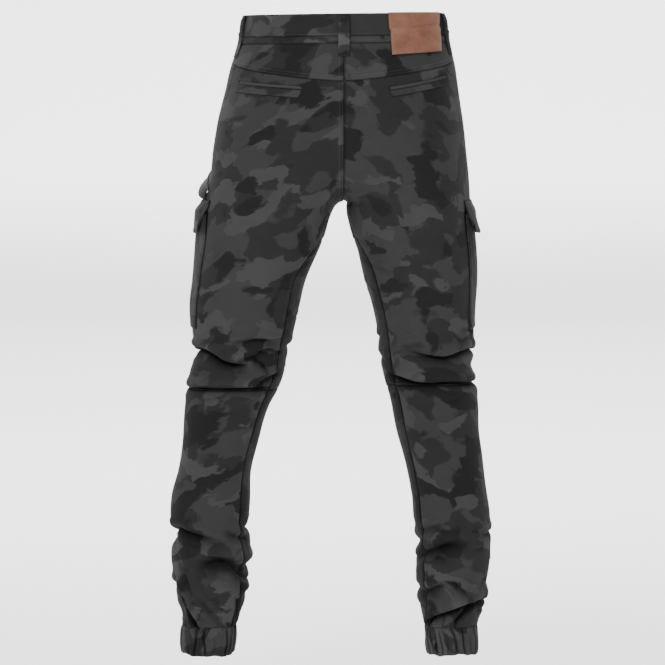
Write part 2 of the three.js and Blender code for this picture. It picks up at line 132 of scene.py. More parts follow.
def addSweep():
    # the floor curves up into a glowing wall, well beyond any view of the jeans
    sweep = studio["sweep"]
    floor, radius, half = studio["floorLevel"] * mm - sweep["under"], sweep["radius"], sweep["width"] / 2
    turns = np.linspace(0, math.pi / 2, sweep["steps"])
    profile = [(sweep["from"] - radius * math.sin(a), floor + radius * (1 - math.cos(a))) for a in turns]
    profile.append((profile[-1][0], sweep["height"]))
    vertices = [(x, y, z) for y, z in profile for x in (-half, half)]
    faces = [(2 * k, 2 * k + 1, 2 * k + 3, 2 * k + 2) for k in range(len(profile) - 1)]
    mesh = bpy.data.meshes.new("sweep")
    mesh.from_pydata(vertices, [], faces)
    mesh.polygons.foreach_set("use_smooth", np.ones(len(faces), bool))
    wall = bpy.data.objects.new("sweep", mesh)
    bpy.context.scene.collection.objects.link(wall)
    material, tree, shader = startMaterial("sweep_white", {
        "Base Color": studio["floorColour"], "Roughness": studio["roughness"], "Emission Color": (1, 1, 1, 1)})
    place = addNode(tree, "ShaderNodeTexCoord").outputs["Object"]
    level = addNode(tree, "ShaderNodeSeparateXYZ", {0: place}).outputs["Z"]
    glow = {"Value": level, "From Min": sweep["glowFrom"], "From Max": sweep["glowTo"], "To Max": sweep["glow"]}
    glow = addNode(tree, "ShaderNodeMapRange", glow, interpolation_type="SMOOTHSTEP")
    setInputs(tree, shader, {"Emission Strength": glow.outputs[0]})
    mesh.materials.append(material)


addCamera()
addStudio()
print("camera, floor and lights are in place")

# The form: each leg is a tube of level sections, cut at the centre plane where the two run together.
cut = {
    "cloth": 1.3, "seamGap": 0.3, "layGap": 0.5, "bandTop": 20, "bandFoot": -15, "stripFoot": -26,
    "yokeAtSeat": -86, "yokeRise": 27, "straightBelow": -200, "knee": {"left": -580, "right": -572},
    "cuffTop": -960, "hem": -1006, "frontDip": 24, "hipTilt": 0.012, "dipReach": 106, "squareness": 2.2,
    "join": 14, "leanFrom": -270, "leanTo": -90,
    "outseam": 15, "inseam": 141, "inseamFrom": -285, "inseamTo": -400,
}


def table(text):
    # the first line names the columns
    head, *lines = text.strip().split("\n")
    rows = np.array([[float(cell) for cell in line.split()] for line in lines])
    return dict(zip(head.split(), rows.T))


hips = table("""
  z     leftInner  leftMid  leftOuter  rightInner  rightMid  rightOuter  y     back  front
  20    -160       0        160        -160        0         160         0     106   106
  -20   -160       3        166        -160        3         166         0     111   108
  -57   -140       18       180        -140        18        177         0     119   110
  -102  -112       40       191        -112        40        184         0     128   111
  -150  -84        64       203        -84         64        191         0     134   110
  -196  -53        83       210        -53         82        196         0     135   107
  -233  -24        97       214        -24         94        200         0     131   105
  -262  -1         110      223        -1          103       202         0     124   102.5
  -278  14         118      226        14          107       203         -0.3  119   101
  -286  20         121      227        14.5        109       203         -0.6  117   100
  -302  26         125      228.5      15          110       202         -1    112   98.5
""")

shins = {
    "left": table("""
  z      inner  outer  y    back  front
  -326   32     230    -2   105   96
  -358   43     233.5    -4   97    92
  -406   63     239.5    -8   87    86
  -444   72     244.5    -12  81    82
  -486   81     245    -15  74    77
  -519   90     241    -17  69    73
  -558   97     249    -16  68    70
  -582   107    254    -13  67    67
  -610   122    257    -8   66    64
  -663   138    260    1    65    60
  -710   149    265    8    63    58
  -753   152    277    12   61    57
  -799   154    279    14   59    56
  -846   151    277    15   58    55
  -886   153    273    15   55    52
  -918   160    265    15   50    48
  -945   169    261    14   45    44
  -960   173    262    14   44    43
  -1006  177    263    14   42    42
"""),
    "right": table("""
  z      inner  outer  y    back  front
  -326   18     205    -2   101   95
  -358   26     208    -4   94    91
  -406   36     210    -8   86    86
  -444   47     210    -12  80    81
  -486   56     210    -15  73    76
  -522   60     208    -17  69    72
  -559   66     210    -16  68    70
  -585   73     214    -13  67    67
  -610   79     217    -8   66    64
  -655   89     219    1    65    60
  -710   102    226    8    63    58
  -752   109    232    12   61    57
  -777   111    236    13   60    56
  -810   117    238    14   59    56
  -846   118    236    15   58    55
  -875   118    232    15   56    53
  -910   121    229    15   51    49
  -937   126    222    14   45    44
  -960   130    216    14   43    42
  -1006  136    216    14   41    41
"""),
}

def numbers(text):
    # groups of numbers, parted by commas
    return [tuple(float(number) for number in group.split()) for group in text.split(",")]


def creaseRows(text):
    rows = [row.split(":") for row in text.strip().split("\n")]
    return [(numbers(line), *numbers(sizes)[0]) for sizes, line in rows]


# Creases: how deep, how wide to each side, how far the upper lip hangs over (a share of the depth) and the
# shares of the length in which it fades in and out; then its line, point by point, each an angle and a level.
creases = {
    "left": creaseRows("""
11 8 0.5 0.25 0.12: -40 -524, 0 -519, 18 -514, 32 -515, 48 -520, 61 -528, 71 -535, 81 -539, 90 -541, 106 -545
4.5 6 0.3 0.3 0.3: 76 -513, 86 -507, 98 -503, 113 -502, 132 -508
6 6 0.4 0.2 0.3: 82 -535, 90 -532, 98 -530, 106 -527, 112 -520, 128 -514
6 5.5 0.3 0.15 0.3: 104 -530, 110 -535, 118 -541, 124 -547, 134 -560
4 4.5 0.3 0.3 0.3: 116 -518, 124 -516, 138 -521, 150 -519
8 7 0.6 0.3 0.15: -30 -576, 10 -578, 50 -578, 90 -579, 120 -579, 150 -580
6 7 0.3 0.2 0.3: 112 -577, 122 -568, 134 -562, 150 -556
4 8 0.35 0.3 0.3: 150 -520, 175 -512, 205 -520, 235 -534
6 9 0.35 0.3 0.3: 215 -545, 245 -537, 285 -540, 315 -548
5 8 0.35 0.3 0.3: 220 -588, 260 -583, 300 -588, 325 -586
8 9 0.3 0.3 0.2: -55 -814, -20 -811, 5 -809, 25 -803, 40 -802, 53 -806, 72 -812, 86 -817, 97 -823, 112 -830
5 8 0.4 0.3 0.3: 106 -805, 120 -811, 133 -815, 150 -817, 165 -816
7 9 0.35 0.3 0.3: 150 -808, 172 -803, 200 -800, 228 -806
11 15 0.4 0.25 0.2: 66 -872, 77 -862, 88 -856, 100 -852, 115 -855, 130 -865, 157 -875, 185 -868, 205 -862
6 7 0.3 0.2 0.3: 114 -862, 130 -873, 145 -880, 160 -885, 182 -887, 205 -884
7 8 0.4 0.3 0.3: -45 -900, -20 -896, 0 -892, 20 -893, 35 -899
13 6 0.15 0.12 0.1: 30 -898, 36 -907, 44 -923, 50 -938, 58 -950, 68 -962, 76 -970
5 11 0.2 0.3 0.3: 34 -850, 41 -860, 51 -880, 57 -900, 62 -921
3.5 7 0.1 0.3 0.2: 66 -912, 76 -922, 90 -939, 107 -953, 116 -966
3.5 7 0.1 0.3 0.1: 130 -912, 142 -926, 150 -944, 156 -966
4 9 0.35 0.3 0.3: 150 -915, 170 -908, 195 -906, 220 -913
7 9 0.4 0.3 0.3: 210 -812, 245 -818, 285 -811, 325 -806
8 11 0.4 0.3 0.3: 225 -862, 265 -870, 300 -875, 335 -872
6 8 0.35 0.3 0.3: 200 -930, 235 -926, 275 -921, 305 -918
4 6 0.1 0.3 0.1: 228 -938, 236 -950, 244 -968
5 6 0.1 0.3 0.1: 296 -932, 308 -946, 316 -966
"""),
    "right": creaseRows("""
9 7 0.5 0.3 0.3: -50 -524, -10 -520, 12 -515, 27 -516, 41 -520, 55 -525, 68 -529, 81 -529, 93 -526, 103 -522, \
    117 -518, 130 -517
3.5 6 0.2 0.3 0.3: 88 -512, 98 -509, 112 -511, 124 -514
4 5 0.3 0.3 0.3: 28 -494, 36 -500, 46 -511, 54 -523
10 8 0.55 0.2 0.15: -35 -566, 0 -568, 30 -570, 52 -569, 72 -569, 91 -571, 104 -570, 116 -567, 128 -562, \
    141 -560, 156 -556
3.5 6 0.2 0.3 0.3: 124 -530, 133 -540, 140 -552
4 6 0.4 0.3 0.3: 150 -480, 165 -490, 180 -498, 195 -494
3 6 0.2 0.3 0.3: 72 -457, 82 -457, 96 -455, 106 -458
3.5 5 0.4 0.3 0.3: 10 -484, 25 -486, 40 -484, 52 -486
4 7 0.4 0.3 0.3: 155 -520, 180 -528, 205 -536
6 9 0.35 0.3 0.3: 215 -550, 250 -541, 290 -543, 320 -550
5 8 0.35 0.3 0.3: 225 -586, 262 -590, 300 -585, 325 -582
3.5 7 0.3 0.3 0.3: 98 -797, 114 -800, 130 -803, 150 -806
9 11 0.4 0.3 0.3: 64 -828, 78 -828, 93 -827, 102 -828, 116 -832, 136 -839, 150 -846, 165 -851, 190 -851, \
    210 -846
6 8 0.35 0.3 0.3: 158 -828, 176 -823, 205 -819, 238 -826
5 7 0.4 0.3 0.3: -25 -806, 10 -808, 36 -812, 58 -806
3 5 0.3 0.3 0.3: 98 -852, 110 -848, 122 -850
7 9 0.45 0.2 0.25: 94 -892, 105 -893, 117 -896, 130 -900, 146 -905, 170 -902, 205 -896
5.5 7 0.4 0.25 0.25: 20 -907, 30 -908, 44 -913, 62 -911, 77 -902, 88 -892, 102 -886
12 7.5 0.55 0.25 0.15: -35 -900, 0 -911, 26 -917, 45 -920, 60 -922, 74 -926, 94 -935, 112 -941, 132 -946, \
    150 -952, 168 -961
9 5.5 0.2 0.2 0.1: 44 -918, 58 -927, 73 -938, 82 -949, 88 -962
6 4.5 0.1 0.2 0.1: 124 -936, 131 -944, 136 -954, 140 -966
5 5 0.4 0.3 0.3: -15 -934, 12 -930, 28 -934, 44 -938
3.5 5 0.1 0.3 0.1: 100 -944, 105 -954, 109 -968
4 8 0.35 0.3 0.3: 165 -925, 190 -919, 215 -924
7 9 0.4 0.3 0.3: 210 -818, 250 -824, 290 -818, 325 -814
8 10 0.4 0.3 0.3: 220 -880, 262 -873, 300 -869, 330 -874
6 8 0.35 0.3 0.3: 235 -925, 270 -921, 305 -928, 335 -926
4 6 0.1 0.3 0.1: 244 -936, 252 -950, 258 -968
5 5 0.1 0.3 0.1: 312 -940, 318 -952, 322 -968
"""),
}

# Soft hollows (swells where the depth is below 0): angle, level, half its reach in degrees and in mm, depth.
hollows = {
    "left": numbers("""
2 -815 30 13 8, 97 -862 17 14 3.5, 132 -569 10 9 5, 62 -566 22 6 -2.5, 140 -892 14 10 2.5,
20 -850 24 18 -2.5, 118 -832 16 8 -3, 45 -545 14 9 2, 100 -925 22 14 -1.5, 250 -842 20 14 4,
290 -900 20 12 3.5, 265 -562 22 9 4, 0 -808 30 15 6.5, 0 -921 30 12 -4, 180 -858 36 7 11,
182 -792 36 10 5, 0 -521 28 16 5.5
"""),
    "right": numbers("""
122 -905 13 8 4, 62 -932 9 8 3.5, 100 -868 22 12 -2, 60 -900 18 7 2.5, 120 -842 14 7 2, 80 -546 26 8 -2,
140 -545 8 8 2.5, 45 -495 12 8 2.5, 255 -850 20 12 4, 285 -905 20 12 3.5, 270 -565 22 9 4,
180 -826 34 12 5.5, 180 -852 34 8 -4, 180 -892 34 9 4.5, 180 -919 34 8 -2.5, 0 -897 28 12 3,
180 -975 40 16 3.2, 0 -921 28 6 3, 0 -546 26 15 4.5
"""),
}

# Small tucks between the creases, scattered from a fixed seed: where they lie, and how many on each leg.
tucks = {
    "seed": 12, "jitter": (0.1, 0.9), "half": (7, 20), "slope": (-0.45, 0.45), "bow": (-3, 3),
    "depth": (0.9, 2.4), "width": (3, 5.5), "hang": 0.3, "fade": 0.45,
    # angle from, to, z from, to, how many
    "zones": [(0, 360, -490, -612, 26), (0, 360, -785, -955, 44), (120, 215, -330, -480, 8)],
}


def scatterTucks(seed):
    random = np.random.default_rng(seed)
    found = []

    def draw(name):
        return random.uniform(*tucks[name])

    for fromAngle, toAngle, top, foot, count in tucks["zones"]:
        for k in range(count):
            angle = fromAngle + (toAngle - fromAngle) * (k + draw("jitter")) / count
            z = random.uniform(foot, top)
            half, slope, bow = draw("half"), draw("slope"), draw("bow")
            line = [(angle - half, z - slope * half), (angle, z + bow), (angle + half, z + slope * half)]
            found.append((line, draw("depth"), draw("width"), tucks["hang"], tucks["fade"], tucks["fade"]))
    return found


def curve(places, values, x):
    # a smooth curve through the values
    places, values, x = np.asarray(places, float), np.asarray(values, float), np.asarray(x, float)
    if places[0] > places[-1]:
        places, values = places[::-1], values[::-1]
    before = np.maximum(np.arange(len(places)) - 1, 0)
    after = np.minimum(np.arange(len(places)) + 1, len(places) - 1)
    slopes = (values[after] - values[before]) / (places[after] - places[before])
    i = np.clip(np.searchsorted(places, x, side="right") - 1, 0, len(places) - 2)
    step = places[i + 1] - places[i]
    t = np.clip((x - places[i]) / step, 0, 1)
    return (
        (2 * t**3 - 3 * t**2 + 1) * values[i] + (t**3 - 2 * t**2 + t) * step * slopes[i]
        + (3 * t**2 - 2 * t**3) * values[i + 1] + (t**3 - t**2) * step * slopes[i + 1]
    )


def smooth(start, end, value):
    t = np.clip((np.asarray(value, float) - start) / (end - start), 0, 1)
    return t * t * (3 - 2 * t)


def bell(value, width):
    return np.exp(-((value / width) ** 2))


def between(start, end, share):
    return start + (end - start) * share


def power(value, exponent):
    return np.sign(value) * np.abs(value) ** exponent


def makeLeg(name, side):
    shin = shins[name]
    leg = {"name": name, "side": side, "z": np.concatenate([hips["z"], shin["z"]])}
    leg["mid"] = np.concatenate([hips[name + "Mid"], (shin["inner"] + shin["outer"]) / 2])
    for key in ("inner", "outer", "y", "back", "front"):
        own = name + key.title()  # the two legs differ in their inner and outer sides
        leg[key] = np.concatenate([hips[own if own in hips else key], shin[key]])
    leg["creases"] = creases[name] + scatterTucks(tucks["seed"] + side)
    return leg


left = makeLeg("left", 1)
right = makeLeg("right", -1)


def baseSurface(leg, angle, z):
    # the tube without its creases; angle in radians
    def at(key):
        return curve(leg["z"], leg[key], z)

    c, s = np.cos(angle), np.sin(angle)
    mid = at("mid")
    width = np.where(c > 0, at("outer") - mid, mid - at("inner"))
    depth = np.where(s > 0, at("back"), at("front"))
    fromPlane = mid + width * power(c, 2 / cut["squareness"])
    x = power(fromPlane**2 - cut["join"] ** 2, 0.5)
    y = at("y") + depth * power(s, 2 / cut["squareness"])
    dip = cut["frontDip"] * np.minimum(y / cut["dipReach"], 0) ** 2
    lean = smooth(cut["leanFrom"], cut["leanTo"], z) * (dip + cut["hipTilt"] * leg["side"] * x)
    return np.stack([leg["side"] * x, y, z - lean], -1)


def baseNormal(leg, angle, z):
    around = baseSurface(leg, angle + 0.02, z) - baseSurface(leg, angle - 0.02, z)
    up = baseSurface(leg, angle, z + 1) - baseSurface(leg, angle, z - 1)
    normal = np.cross(around, up) * leg["side"]
    return normal / np.linalg.norm(normal, axis=-1, keepdims=True)


def turnFrom(degrees, start):
    # degrees from start, between -180 and 180
    return degrees - start - 360 * np.round((degrees - start) / 360)


# The shape across a crease: a trough, the ridge above it and a low one below it. Places and widths are in the
# crease's own widths, and heights are shares of its depth.
creaseForm = {
    "rise": 3.8,  # mm that it lies higher at the middle of the back
    "round": 1.25,  # mm round the leg for each degree, at the knee and the shin
    "trough": 0.95, "troughWidth": 0.62, "troughPower": 1.25,
    "ridge": 0.55, "ridgeAt": 1.35, "ridgeWidth": 0.85,
    "lowRidge": 0.18, "lowRidgeAt": -1.7, "lowRidgeWidth": 1.1,
    "lipAt": 0.95, "lipWidth": 0.62, "shadeAt": -0.1, "shadeWidth": 0.75,
    "lowShade": 0.45, "lowShadeAt": -1, "lowShadeWidth": 1.3, "hollowShade": 0.9,
}


def creaseMove(leg, angle, z):
    # how far the creases push the cloth out and draw it up, and how much they shade it
    push, lift, shade = np.zeros_like(z), np.zeros_like(z), np.zeros_like(z)
    degrees, form = np.degrees(angle), creaseForm

    def part(t, name):
        return bell(t - form[name + "At"], form[name + "Width"])

    for line, depth, width, hang, fadeIn, fadeOut in leg["creases"]:
        angles, levels = np.array(line, float).T
        middle = (angles[0] + angles[-1]) / 2
        here = middle + turnFrom(degrees, middle)
        share = (here - angles[0]) / (angles[-1] - angles[0])
        near = (share > 0) & (share < 1) & (np.abs(z - levels.mean()) < np.ptp(levels) + 5 * width)
        if not near.any():
            continue
        here, share, level = here[near], share[near], z[near]
        slope = (curve(angles, levels, here + 1) - curve(angles, levels, here - 1)) / 2 / form["round"]
        middleLevel = curve(angles, levels, here) + form["rise"] * np.maximum(np.sin(np.radians(here)), 0)
        t = (level - middleLevel) / (width * np.sqrt(1 + slope**2))
        size = depth * smooth(0, fadeIn, share) * smooth(0, fadeOut, 1 - share)
        trough = np.exp(-((np.abs(t) / form["troughWidth"]) ** form["troughPower"]))
        ridge = form["ridge"] * part(t, "ridge") + form["lowRidge"] * part(t, "lowRidge")
        push[near] += size * (ridge - form["trough"] * trough)
        lift[near] -= hang * size * part(t, "lip")
        shade[near] += size * (part(t, "shade") + form["lowShade"] * part(t, "lowShade"))
    for at, level, reach, height, depth in hollows[leg["name"]]:
        away = turnFrom(degrees, at) / reach
        hollow = depth * np.exp(-(away**2) - ((z - level) / height) ** 2)
        push -= hollow
        shade += form["hollowShade"] * hollow
    return push, lift, shade


# Pleats that the elastic draws in: the angle at the top, how far it has moved at the hem, depth and width in mm,
# and the share of the height at which it starts (below 0 it runs up into the shin).
pleats = {
    "left": table("""
  angle  turn  depth  width  start
  8      2     2.2    2.6    0.05
  24     -4    3.0    3.2    0
  46     3     2.0    2.4    0.15
  68     -3    4.2    2.8    -0.1
  84     2     4.4    2.4    0
  104    -2    1.4    3.4    0.35
  130    -1    4.2    2.6    0
  141    -3    3.4    2.2    0.3
  158    1     4.0    3.0    -0.2
  176    3     2.6    2.6    0
  194    -2    3.4    2.6    0
  212    2     2.4    2.4    0.2
  229    -3    3.6    2.8    -0.1
  246    1     3.0    2.2    0
  262    4     3.8    2.8    0
  281    -2    2.2    2.4    0.1
  297    -3    3.6    2.6    0
  315    2     3.0    3.0    -0.1
  333    -1    3.4    2.4    0
  349    2     2.8    2.6    0.1
"""),
    "right": table("""
  angle  turn  depth  width  start
  13     2     3.2    2.4    0
  32     -3    3.8    2.8    -0.15
  48     -3    2.0    2.4    0.25
  72     -11   4.2    2.8    0
  90     -11   4.4    3.0    -0.2
  102    -5    2.2    2.4    0.35
  113    -2    3.2    2.4    0.1
  127    1     3.6    2.4    0
  138    -2    3.8    2.2    0
  150    2     3.4    2.6    -0.1
  168    3     2.6    2.8    0
  186    -2    3.6    2.6    0
  203    1     2.2    2.2    0.2
  219    -4    3.4    2.8    0
  237    2     3.8    2.6    -0.1
  252    3     2.4    2.2    0.1
  269    -2    3.6    2.8    0
  286    2     2.6    2.4    0
  304    -3    3.8    2.6    0
  321    1     2.8    2.2    0.15
  340    3     3.4    2.8    0
  355    -1    2.4    2.4    0
"""),
}
# the elastic's pleats: mm round the cuff for each degree, the sway down it, and the shape across a pleat
pleatForm = {"round": 0.76, "sway": 1.5, "fadeIn": (0.12, 0.25), "hemFade": 0.35, "trough": 0.55, "power": 1.4,
             "ridge": 0.16, "ridgeAt": 1.5, "ridgeWidth": 0.7}


def pleatDepth(leg, angle, fall):
    # fall is 0 at the cuff's top and 1 at its hem
    degrees, depth, form = np.degrees(angle), np.zeros_like(fall), pleatForm
    for at, turn, deep, width, start in zip(*pleats[leg["name"]].values()):
        swayed = degrees - turn * fall - form["sway"] * np.sin(7 * fall + at)
        away = np.abs(turnFrom(swayed, at)) * form["round"] / width
        fadeIn = smooth(start - form["fadeIn"][0], start + form["fadeIn"][1], fall)
        along = fadeIn * (1 - form["hemFade"] * smooth(0.75, 1, fall))
        ridge = form["ridge"] * bell(away - form["ridgeAt"], form["ridgeWidth"])
        depth = depth + deep * along * (np.exp(-(away / form["trough"]) ** form["power"]) - ridge)
    return depth


drape = {
    # levels between which the waist's smooth cloth gives way to hung cloth, and between which that moves more
    "from": -40, "to": -110, "least": 0.35, "more": 0.9, "moreFrom": -430, "moreTo": -560, "start": 1.3,
    # levels between which the elastic draws the cloth in above the cuff, and the share of the pleats that shows
    "drawnFrom": -925, "drawnTo": -957, "drawn": 0.8,
}


def swell(leg, angle, z):
    # the slow unevenness of hung cloth, stronger down the leg
    start = drape["start"] * leg["side"]
    amount = drape["least"] + drape["more"] * smooth(drape["moreFrom"], drape["moreTo"], z)
    one = np.sin(z / 27 + 2.2 * np.sin(angle + start) + start)
    two = np.sin(z / 13.5 - 3 * angle + 2 * np.sin(2 * angle - start))
    three = np.sin(4 * angle + 1.7 * np.sin(z / 60 + start))
    return amount * (0.5 * one + 0.3 * two + 0.5 * three)


def surface(leg, angle, z, out=0.0):
    # a point of the creased cloth, moved out along the tube's normal
    angle, z = np.broadcast_arrays(np.asarray(angle, float), np.asarray(z, float))
    push, lift = creaseMove(leg, angle, z)[:2]
    fade = smooth(drape["from"], drape["to"], z)
    drawn = smooth(drape["drawnFrom"], drape["drawnTo"], z) * (z > cut["cuffTop"] - 0.2)
    if drawn.any():
        push = push - drape["drawn"] * drawn * pleatDepth(leg, angle, 0 * z)
    at = baseSurface(leg, angle, z + lift)
    away = baseNormal(leg, angle, z + lift)
    return at + away * (push + fade * swell(leg, angle, z) + out)[..., None]


def roundScale(leg, angle, z):
    # mm round the leg for each radian
    ahead = baseSurface(leg, angle + 0.01, z)
    return np.linalg.norm(ahead - baseSurface(leg, angle - 0.01, z), axis=-1) / 0.02


def angleFromPlane(leg, distance, z, panel):
    # the angle at a distance from the centre plane; nan where the leg doesn't reach so far in
    inner, mid, outer = (curve(leg["z"], leg[key], z) for key in ("inner", "mid", "outer"))
    fromMid = np.hypot(cut["join"], distance) - mid
    share = fromMid / np.where(fromMid > 0, outer - mid, mid - inner)
    angle = np.arccos(np.clip(power(share, cut["squareness"] / 2), -1, 1))
    angle = angle if panel == "back" else 2 * np.pi - angle
    return np.where(share < -1, np.nan, angle)


def innerSeam(leg, z, panel):
    z = np.asarray(z, float)
    atPlane = angleFromPlane(leg, cut["seamGap"] / 2, z, panel)
    angle = np.pi + (np.radians(cut["inseam"]) - np.pi) * smooth(cut["inseamFrom"], cut["inseamTo"], z)
    half = cut["seamGap"] / 2 / roundScale(leg, angle, z)
    return np.where(np.isnan(atPlane), angle - half if panel == "back" else angle + half, atPlane)


def outerSeam(leg, z, panel):
    z = np.asarray(z, float)
    angle = np.radians(cut["outseam"])
    half = cut["seamGap"] / 2 / roundScale(leg, angle, z)
    return angle + half if panel == "back" else angle + 2 * np.pi - half


print("the form is worked out")

# Meshes from grids
# A grid runs down (first index) and across (second). Its points are in millimetres.
besideSeam = (0, 0.5, 1.1, 1.8, 2.6, 4, 5.5, 7, 8.3, 9.3, 10.6)  # rows and columns beside a seam


def spread(length, step):
    # places along a length, closer together at its two ends
    ends = np.array([f for f in besideSeam if f < length / 2 - step / 2])
    count = max(int(round((length - 2 * ends[-1]) / step)), 1)
    middle = np.linspace(ends[-1], length - ends[-1], count + 1)
    return np.unique(np.round(np.concatenate([ends, middle, length - ends]), 4)) / length


def shares(down, across):
    # two grids: how far down and how far across each point lies
    return np.meshgrid(down, across, indexing="ij")


def runAlong(points, axis):
    # the distance of each point of a grid from its first row or column, measured over the cloth
    steps = np.linalg.norm(np.diff(points, axis=axis), axis=-1)
    return np.insert(np.cumsum(steps, axis), 0, 0, axis=axis)


def newObject(name, vertices, faces, materials):
    mesh = bpy.data.meshes.new(name)
    mesh.from_pydata(vertices.tolist(), [], faces.tolist())
    for material in materials:
        mesh.materials.append(material)
    mesh.polygons.foreach_set("use_smooth", np.ones(len(mesh.polygons), bool))
    mesh.update()
    piece = bpy.data.objects.new(name, mesh)
    bpy.context.scene.collection.objects.link(piece)
    return piece


def wall(name, outer, inner, uv, tone, materials, around=False):
    # A closed wall between an outer and an inner grid. Around, its last column lies on its first.
    rows, columns = outer.shape[0] - 1, outer.shape[1] - 1
    across = columns if around else columns + 1
    vertices = np.concatenate([outer[:, :across].reshape(-1, 3), inner[:, :across].reshape(-1, 3)]) * mm
    j, i = (index.ravel() for index in shares(np.arange(rows), np.arange(columns)))
    faces, uvs = [], []

    def addQuads(*corners):
        # each corner is (j, i, deep), where deep is 0 outside and 1 inside
        corners = [np.broadcast_arrays(*corner) for corner in corners]
        faces.append(np.stack([((rows + 1) * deep + j) * across + i % across for j, i, deep in corners], 1))
        uvs.append(np.stack([uv[j, i] for j, i, deep in corners], 1))

    addQuads((j, i, 0), (j + 1, i, 0), (j + 1, i + 1, 0), (j, i + 1, 0))
    addQuads((j, i, 1), (j, i + 1, 1), (j + 1, i + 1, 1), (j + 1, i, 1))
    i = np.arange(columns)
    addQuads((0, i, 0), (0, i + 1, 0), (0, i + 1, 1), (0, i, 1))
    addQuads((rows, i, 0), (rows, i, 1), (rows, i + 1, 1), (rows, i + 1, 0))
    if not around:
        j = np.arange(rows)
        addQuads((j, 0, 0), (j, 0, 1), (j + 1, 0, 1), (j + 1, 0, 0))
        addQuads((j, columns, 0), (j + 1, columns, 0), (j + 1, columns, 1), (j, columns, 1))
    faces, uvs = np.concatenate(faces), np.concatenate(uvs)
    slots = np.zeros(len(faces), np.int32)
    slots[rows * columns:2 * rows * columns] = len(materials) - 1
    if signedVolume(vertices, faces) < 0:
        faces, uvs = faces[:, ::-1], uvs[:, ::-1]
    piece = newObject(name, vertices, faces, materials)
    mesh = piece.data
    mesh.polygons.foreach_set("material_index", slots)
    mesh.uv_layers.new(name="cloth").data.foreach_set("uv", uvs.astype(np.float32).ravel())
    # each point's tone, mostly painted light and shade, is kept in the tone attribute
    tones = np.tile(tone[:, :across].astype(np.float32).ravel(), 2)
    mesh.attributes.new("tone", "FLOAT", "POINT").data.foreach_set("value", tones)
    return piece


def signedVolume(vertices, faces):
    a, b, c, d = (vertices[faces[:, k]] for k in range(4))
    return np.einsum("ij,ij->i", a, np.cross(b, c)).sum() + np.einsum("ij,ij->i", a, np.cross(c, d)).sum()


def flatSize(points):
    # the width, length and area that a grid of cloth lies flat in, in metres
    across, down = runAlong(points, 1)[:, -1].max(), runAlong(points, 0)[-1].max()
    a, b = points[1:, 1:] - points[:-1, :-1], points[1:, :-1] - points[:-1, 1:]
    area = np.linalg.norm(np.cross(a, b), axis=-1).sum() / 2
    return across * mm, max(down, area / across) * mm, area * mm * mm


grids = {}  # the outer and inner grid of each piece, for its sewing


def addSheet(name, outer, inner, uv, tone, materials=None, around=False):
    grids.setdefault(name, (outer, inner))
    piece = wall(name + "_cloth", outer, inner, uv, tone, materials or [camoTwill, reverseTwill], around)
    width, length, area = flatSize(outer)
    flat, area = (round(width, 4), round(length, 4)), round(min(area, width * length), 5)
    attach(piece, "root")
    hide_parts(name)


# Materials
def calculate(tree, operation, a, b):
    return addNode(tree, "ShaderNodeMath", {0: a, 1: b}, operation=operation).outputs[0]


def vectorMath(tree, operation, a, b):
    return addNode(tree, "ShaderNodeVectorMath", {0: a, 1: b}, operation=operation).outputs[0]


def addUp(tree, start, *terms):
    # start and each value times its weight
    for value, weight in terms:
        start = calculate(tree, "ADD", calculate(tree, "MULTIPLY", value, weight), start)
    return start


def bend(tree, at, by, amount):
    # moves places by a colour, of which mid grey moves nothing
    centred = vectorMath(tree, "SUBTRACT", by, (0.5, 0.5, 0.5))
    return vectorMath(tree, "ADD", at, vectorMath(tree, "MULTIPLY", centred, (amount,) * 3))


def clothUv(tree):
    return addNode(tree, "ShaderNodeUVMap", uv_map="cloth").outputs[0]


def noise(tree, at, scale, detail, roughness=0.5, shift=(0, 0, 0)):
    placed = addNode(tree, "ShaderNodeMapping", {"Vector": at, "Location": shift}).outputs[0]
    inputs = {"Vector": placed, "Scale": scale, "Detail": detail, "Roughness": roughness}
    return addNode(tree, "ShaderNodeTexNoise", inputs)


def turned(tree, at, degrees):
    inputs = {"Vector": at, "Rotation": (0, 0, math.radians(degrees))}
    return addNode(tree, "ShaderNodeMapping", inputs).outputs[0]


def mixColour(tree, share, a, b):
    return addNode(tree, "ShaderNodeMix", {0: share, 6: a, 7: b}, data_type="RGBA").outputs[2]


def edge(tree, value, threshold, softness):
    # 0 under the threshold and 1 over it
    inputs = {"Value": value, "From Min": threshold - softness, "From Max": threshold + softness}
    return addNode(tree, "ShaderNodeMapRange", inputs, clamp=True).outputs[0]


def shadeColour(tree, shader, colour, start, toneWeight, *terms):
    # the colour, scaled by start with the piece's tone attribute, which is mostly painted light and shade, and
    # the weighed values
    toneWithPaintedLight = addNode(tree, "ShaderNodeAttribute", attribute_name="tone").outputs["Fac"]
    amount = addUp(tree, start, (toneWithPaintedLight, toneWeight), *terms)
    scaled = addNode(tree, "ShaderNodeVectorMath", {0: colour, "Scale": amount}, operation="SCALE").outputs[0]
    setInputs(tree, shader, {"Base Color": scaled})


def addBump(tree, shader, strength, distance, *terms):
    inputs = {"Height": addUp(tree, 0, *terms), "Strength": strength, "Distance": distance}
    setInputs(tree, shader, {"Normal": addNode(tree, "ShaderNodeBump", inputs).outputs[0]})


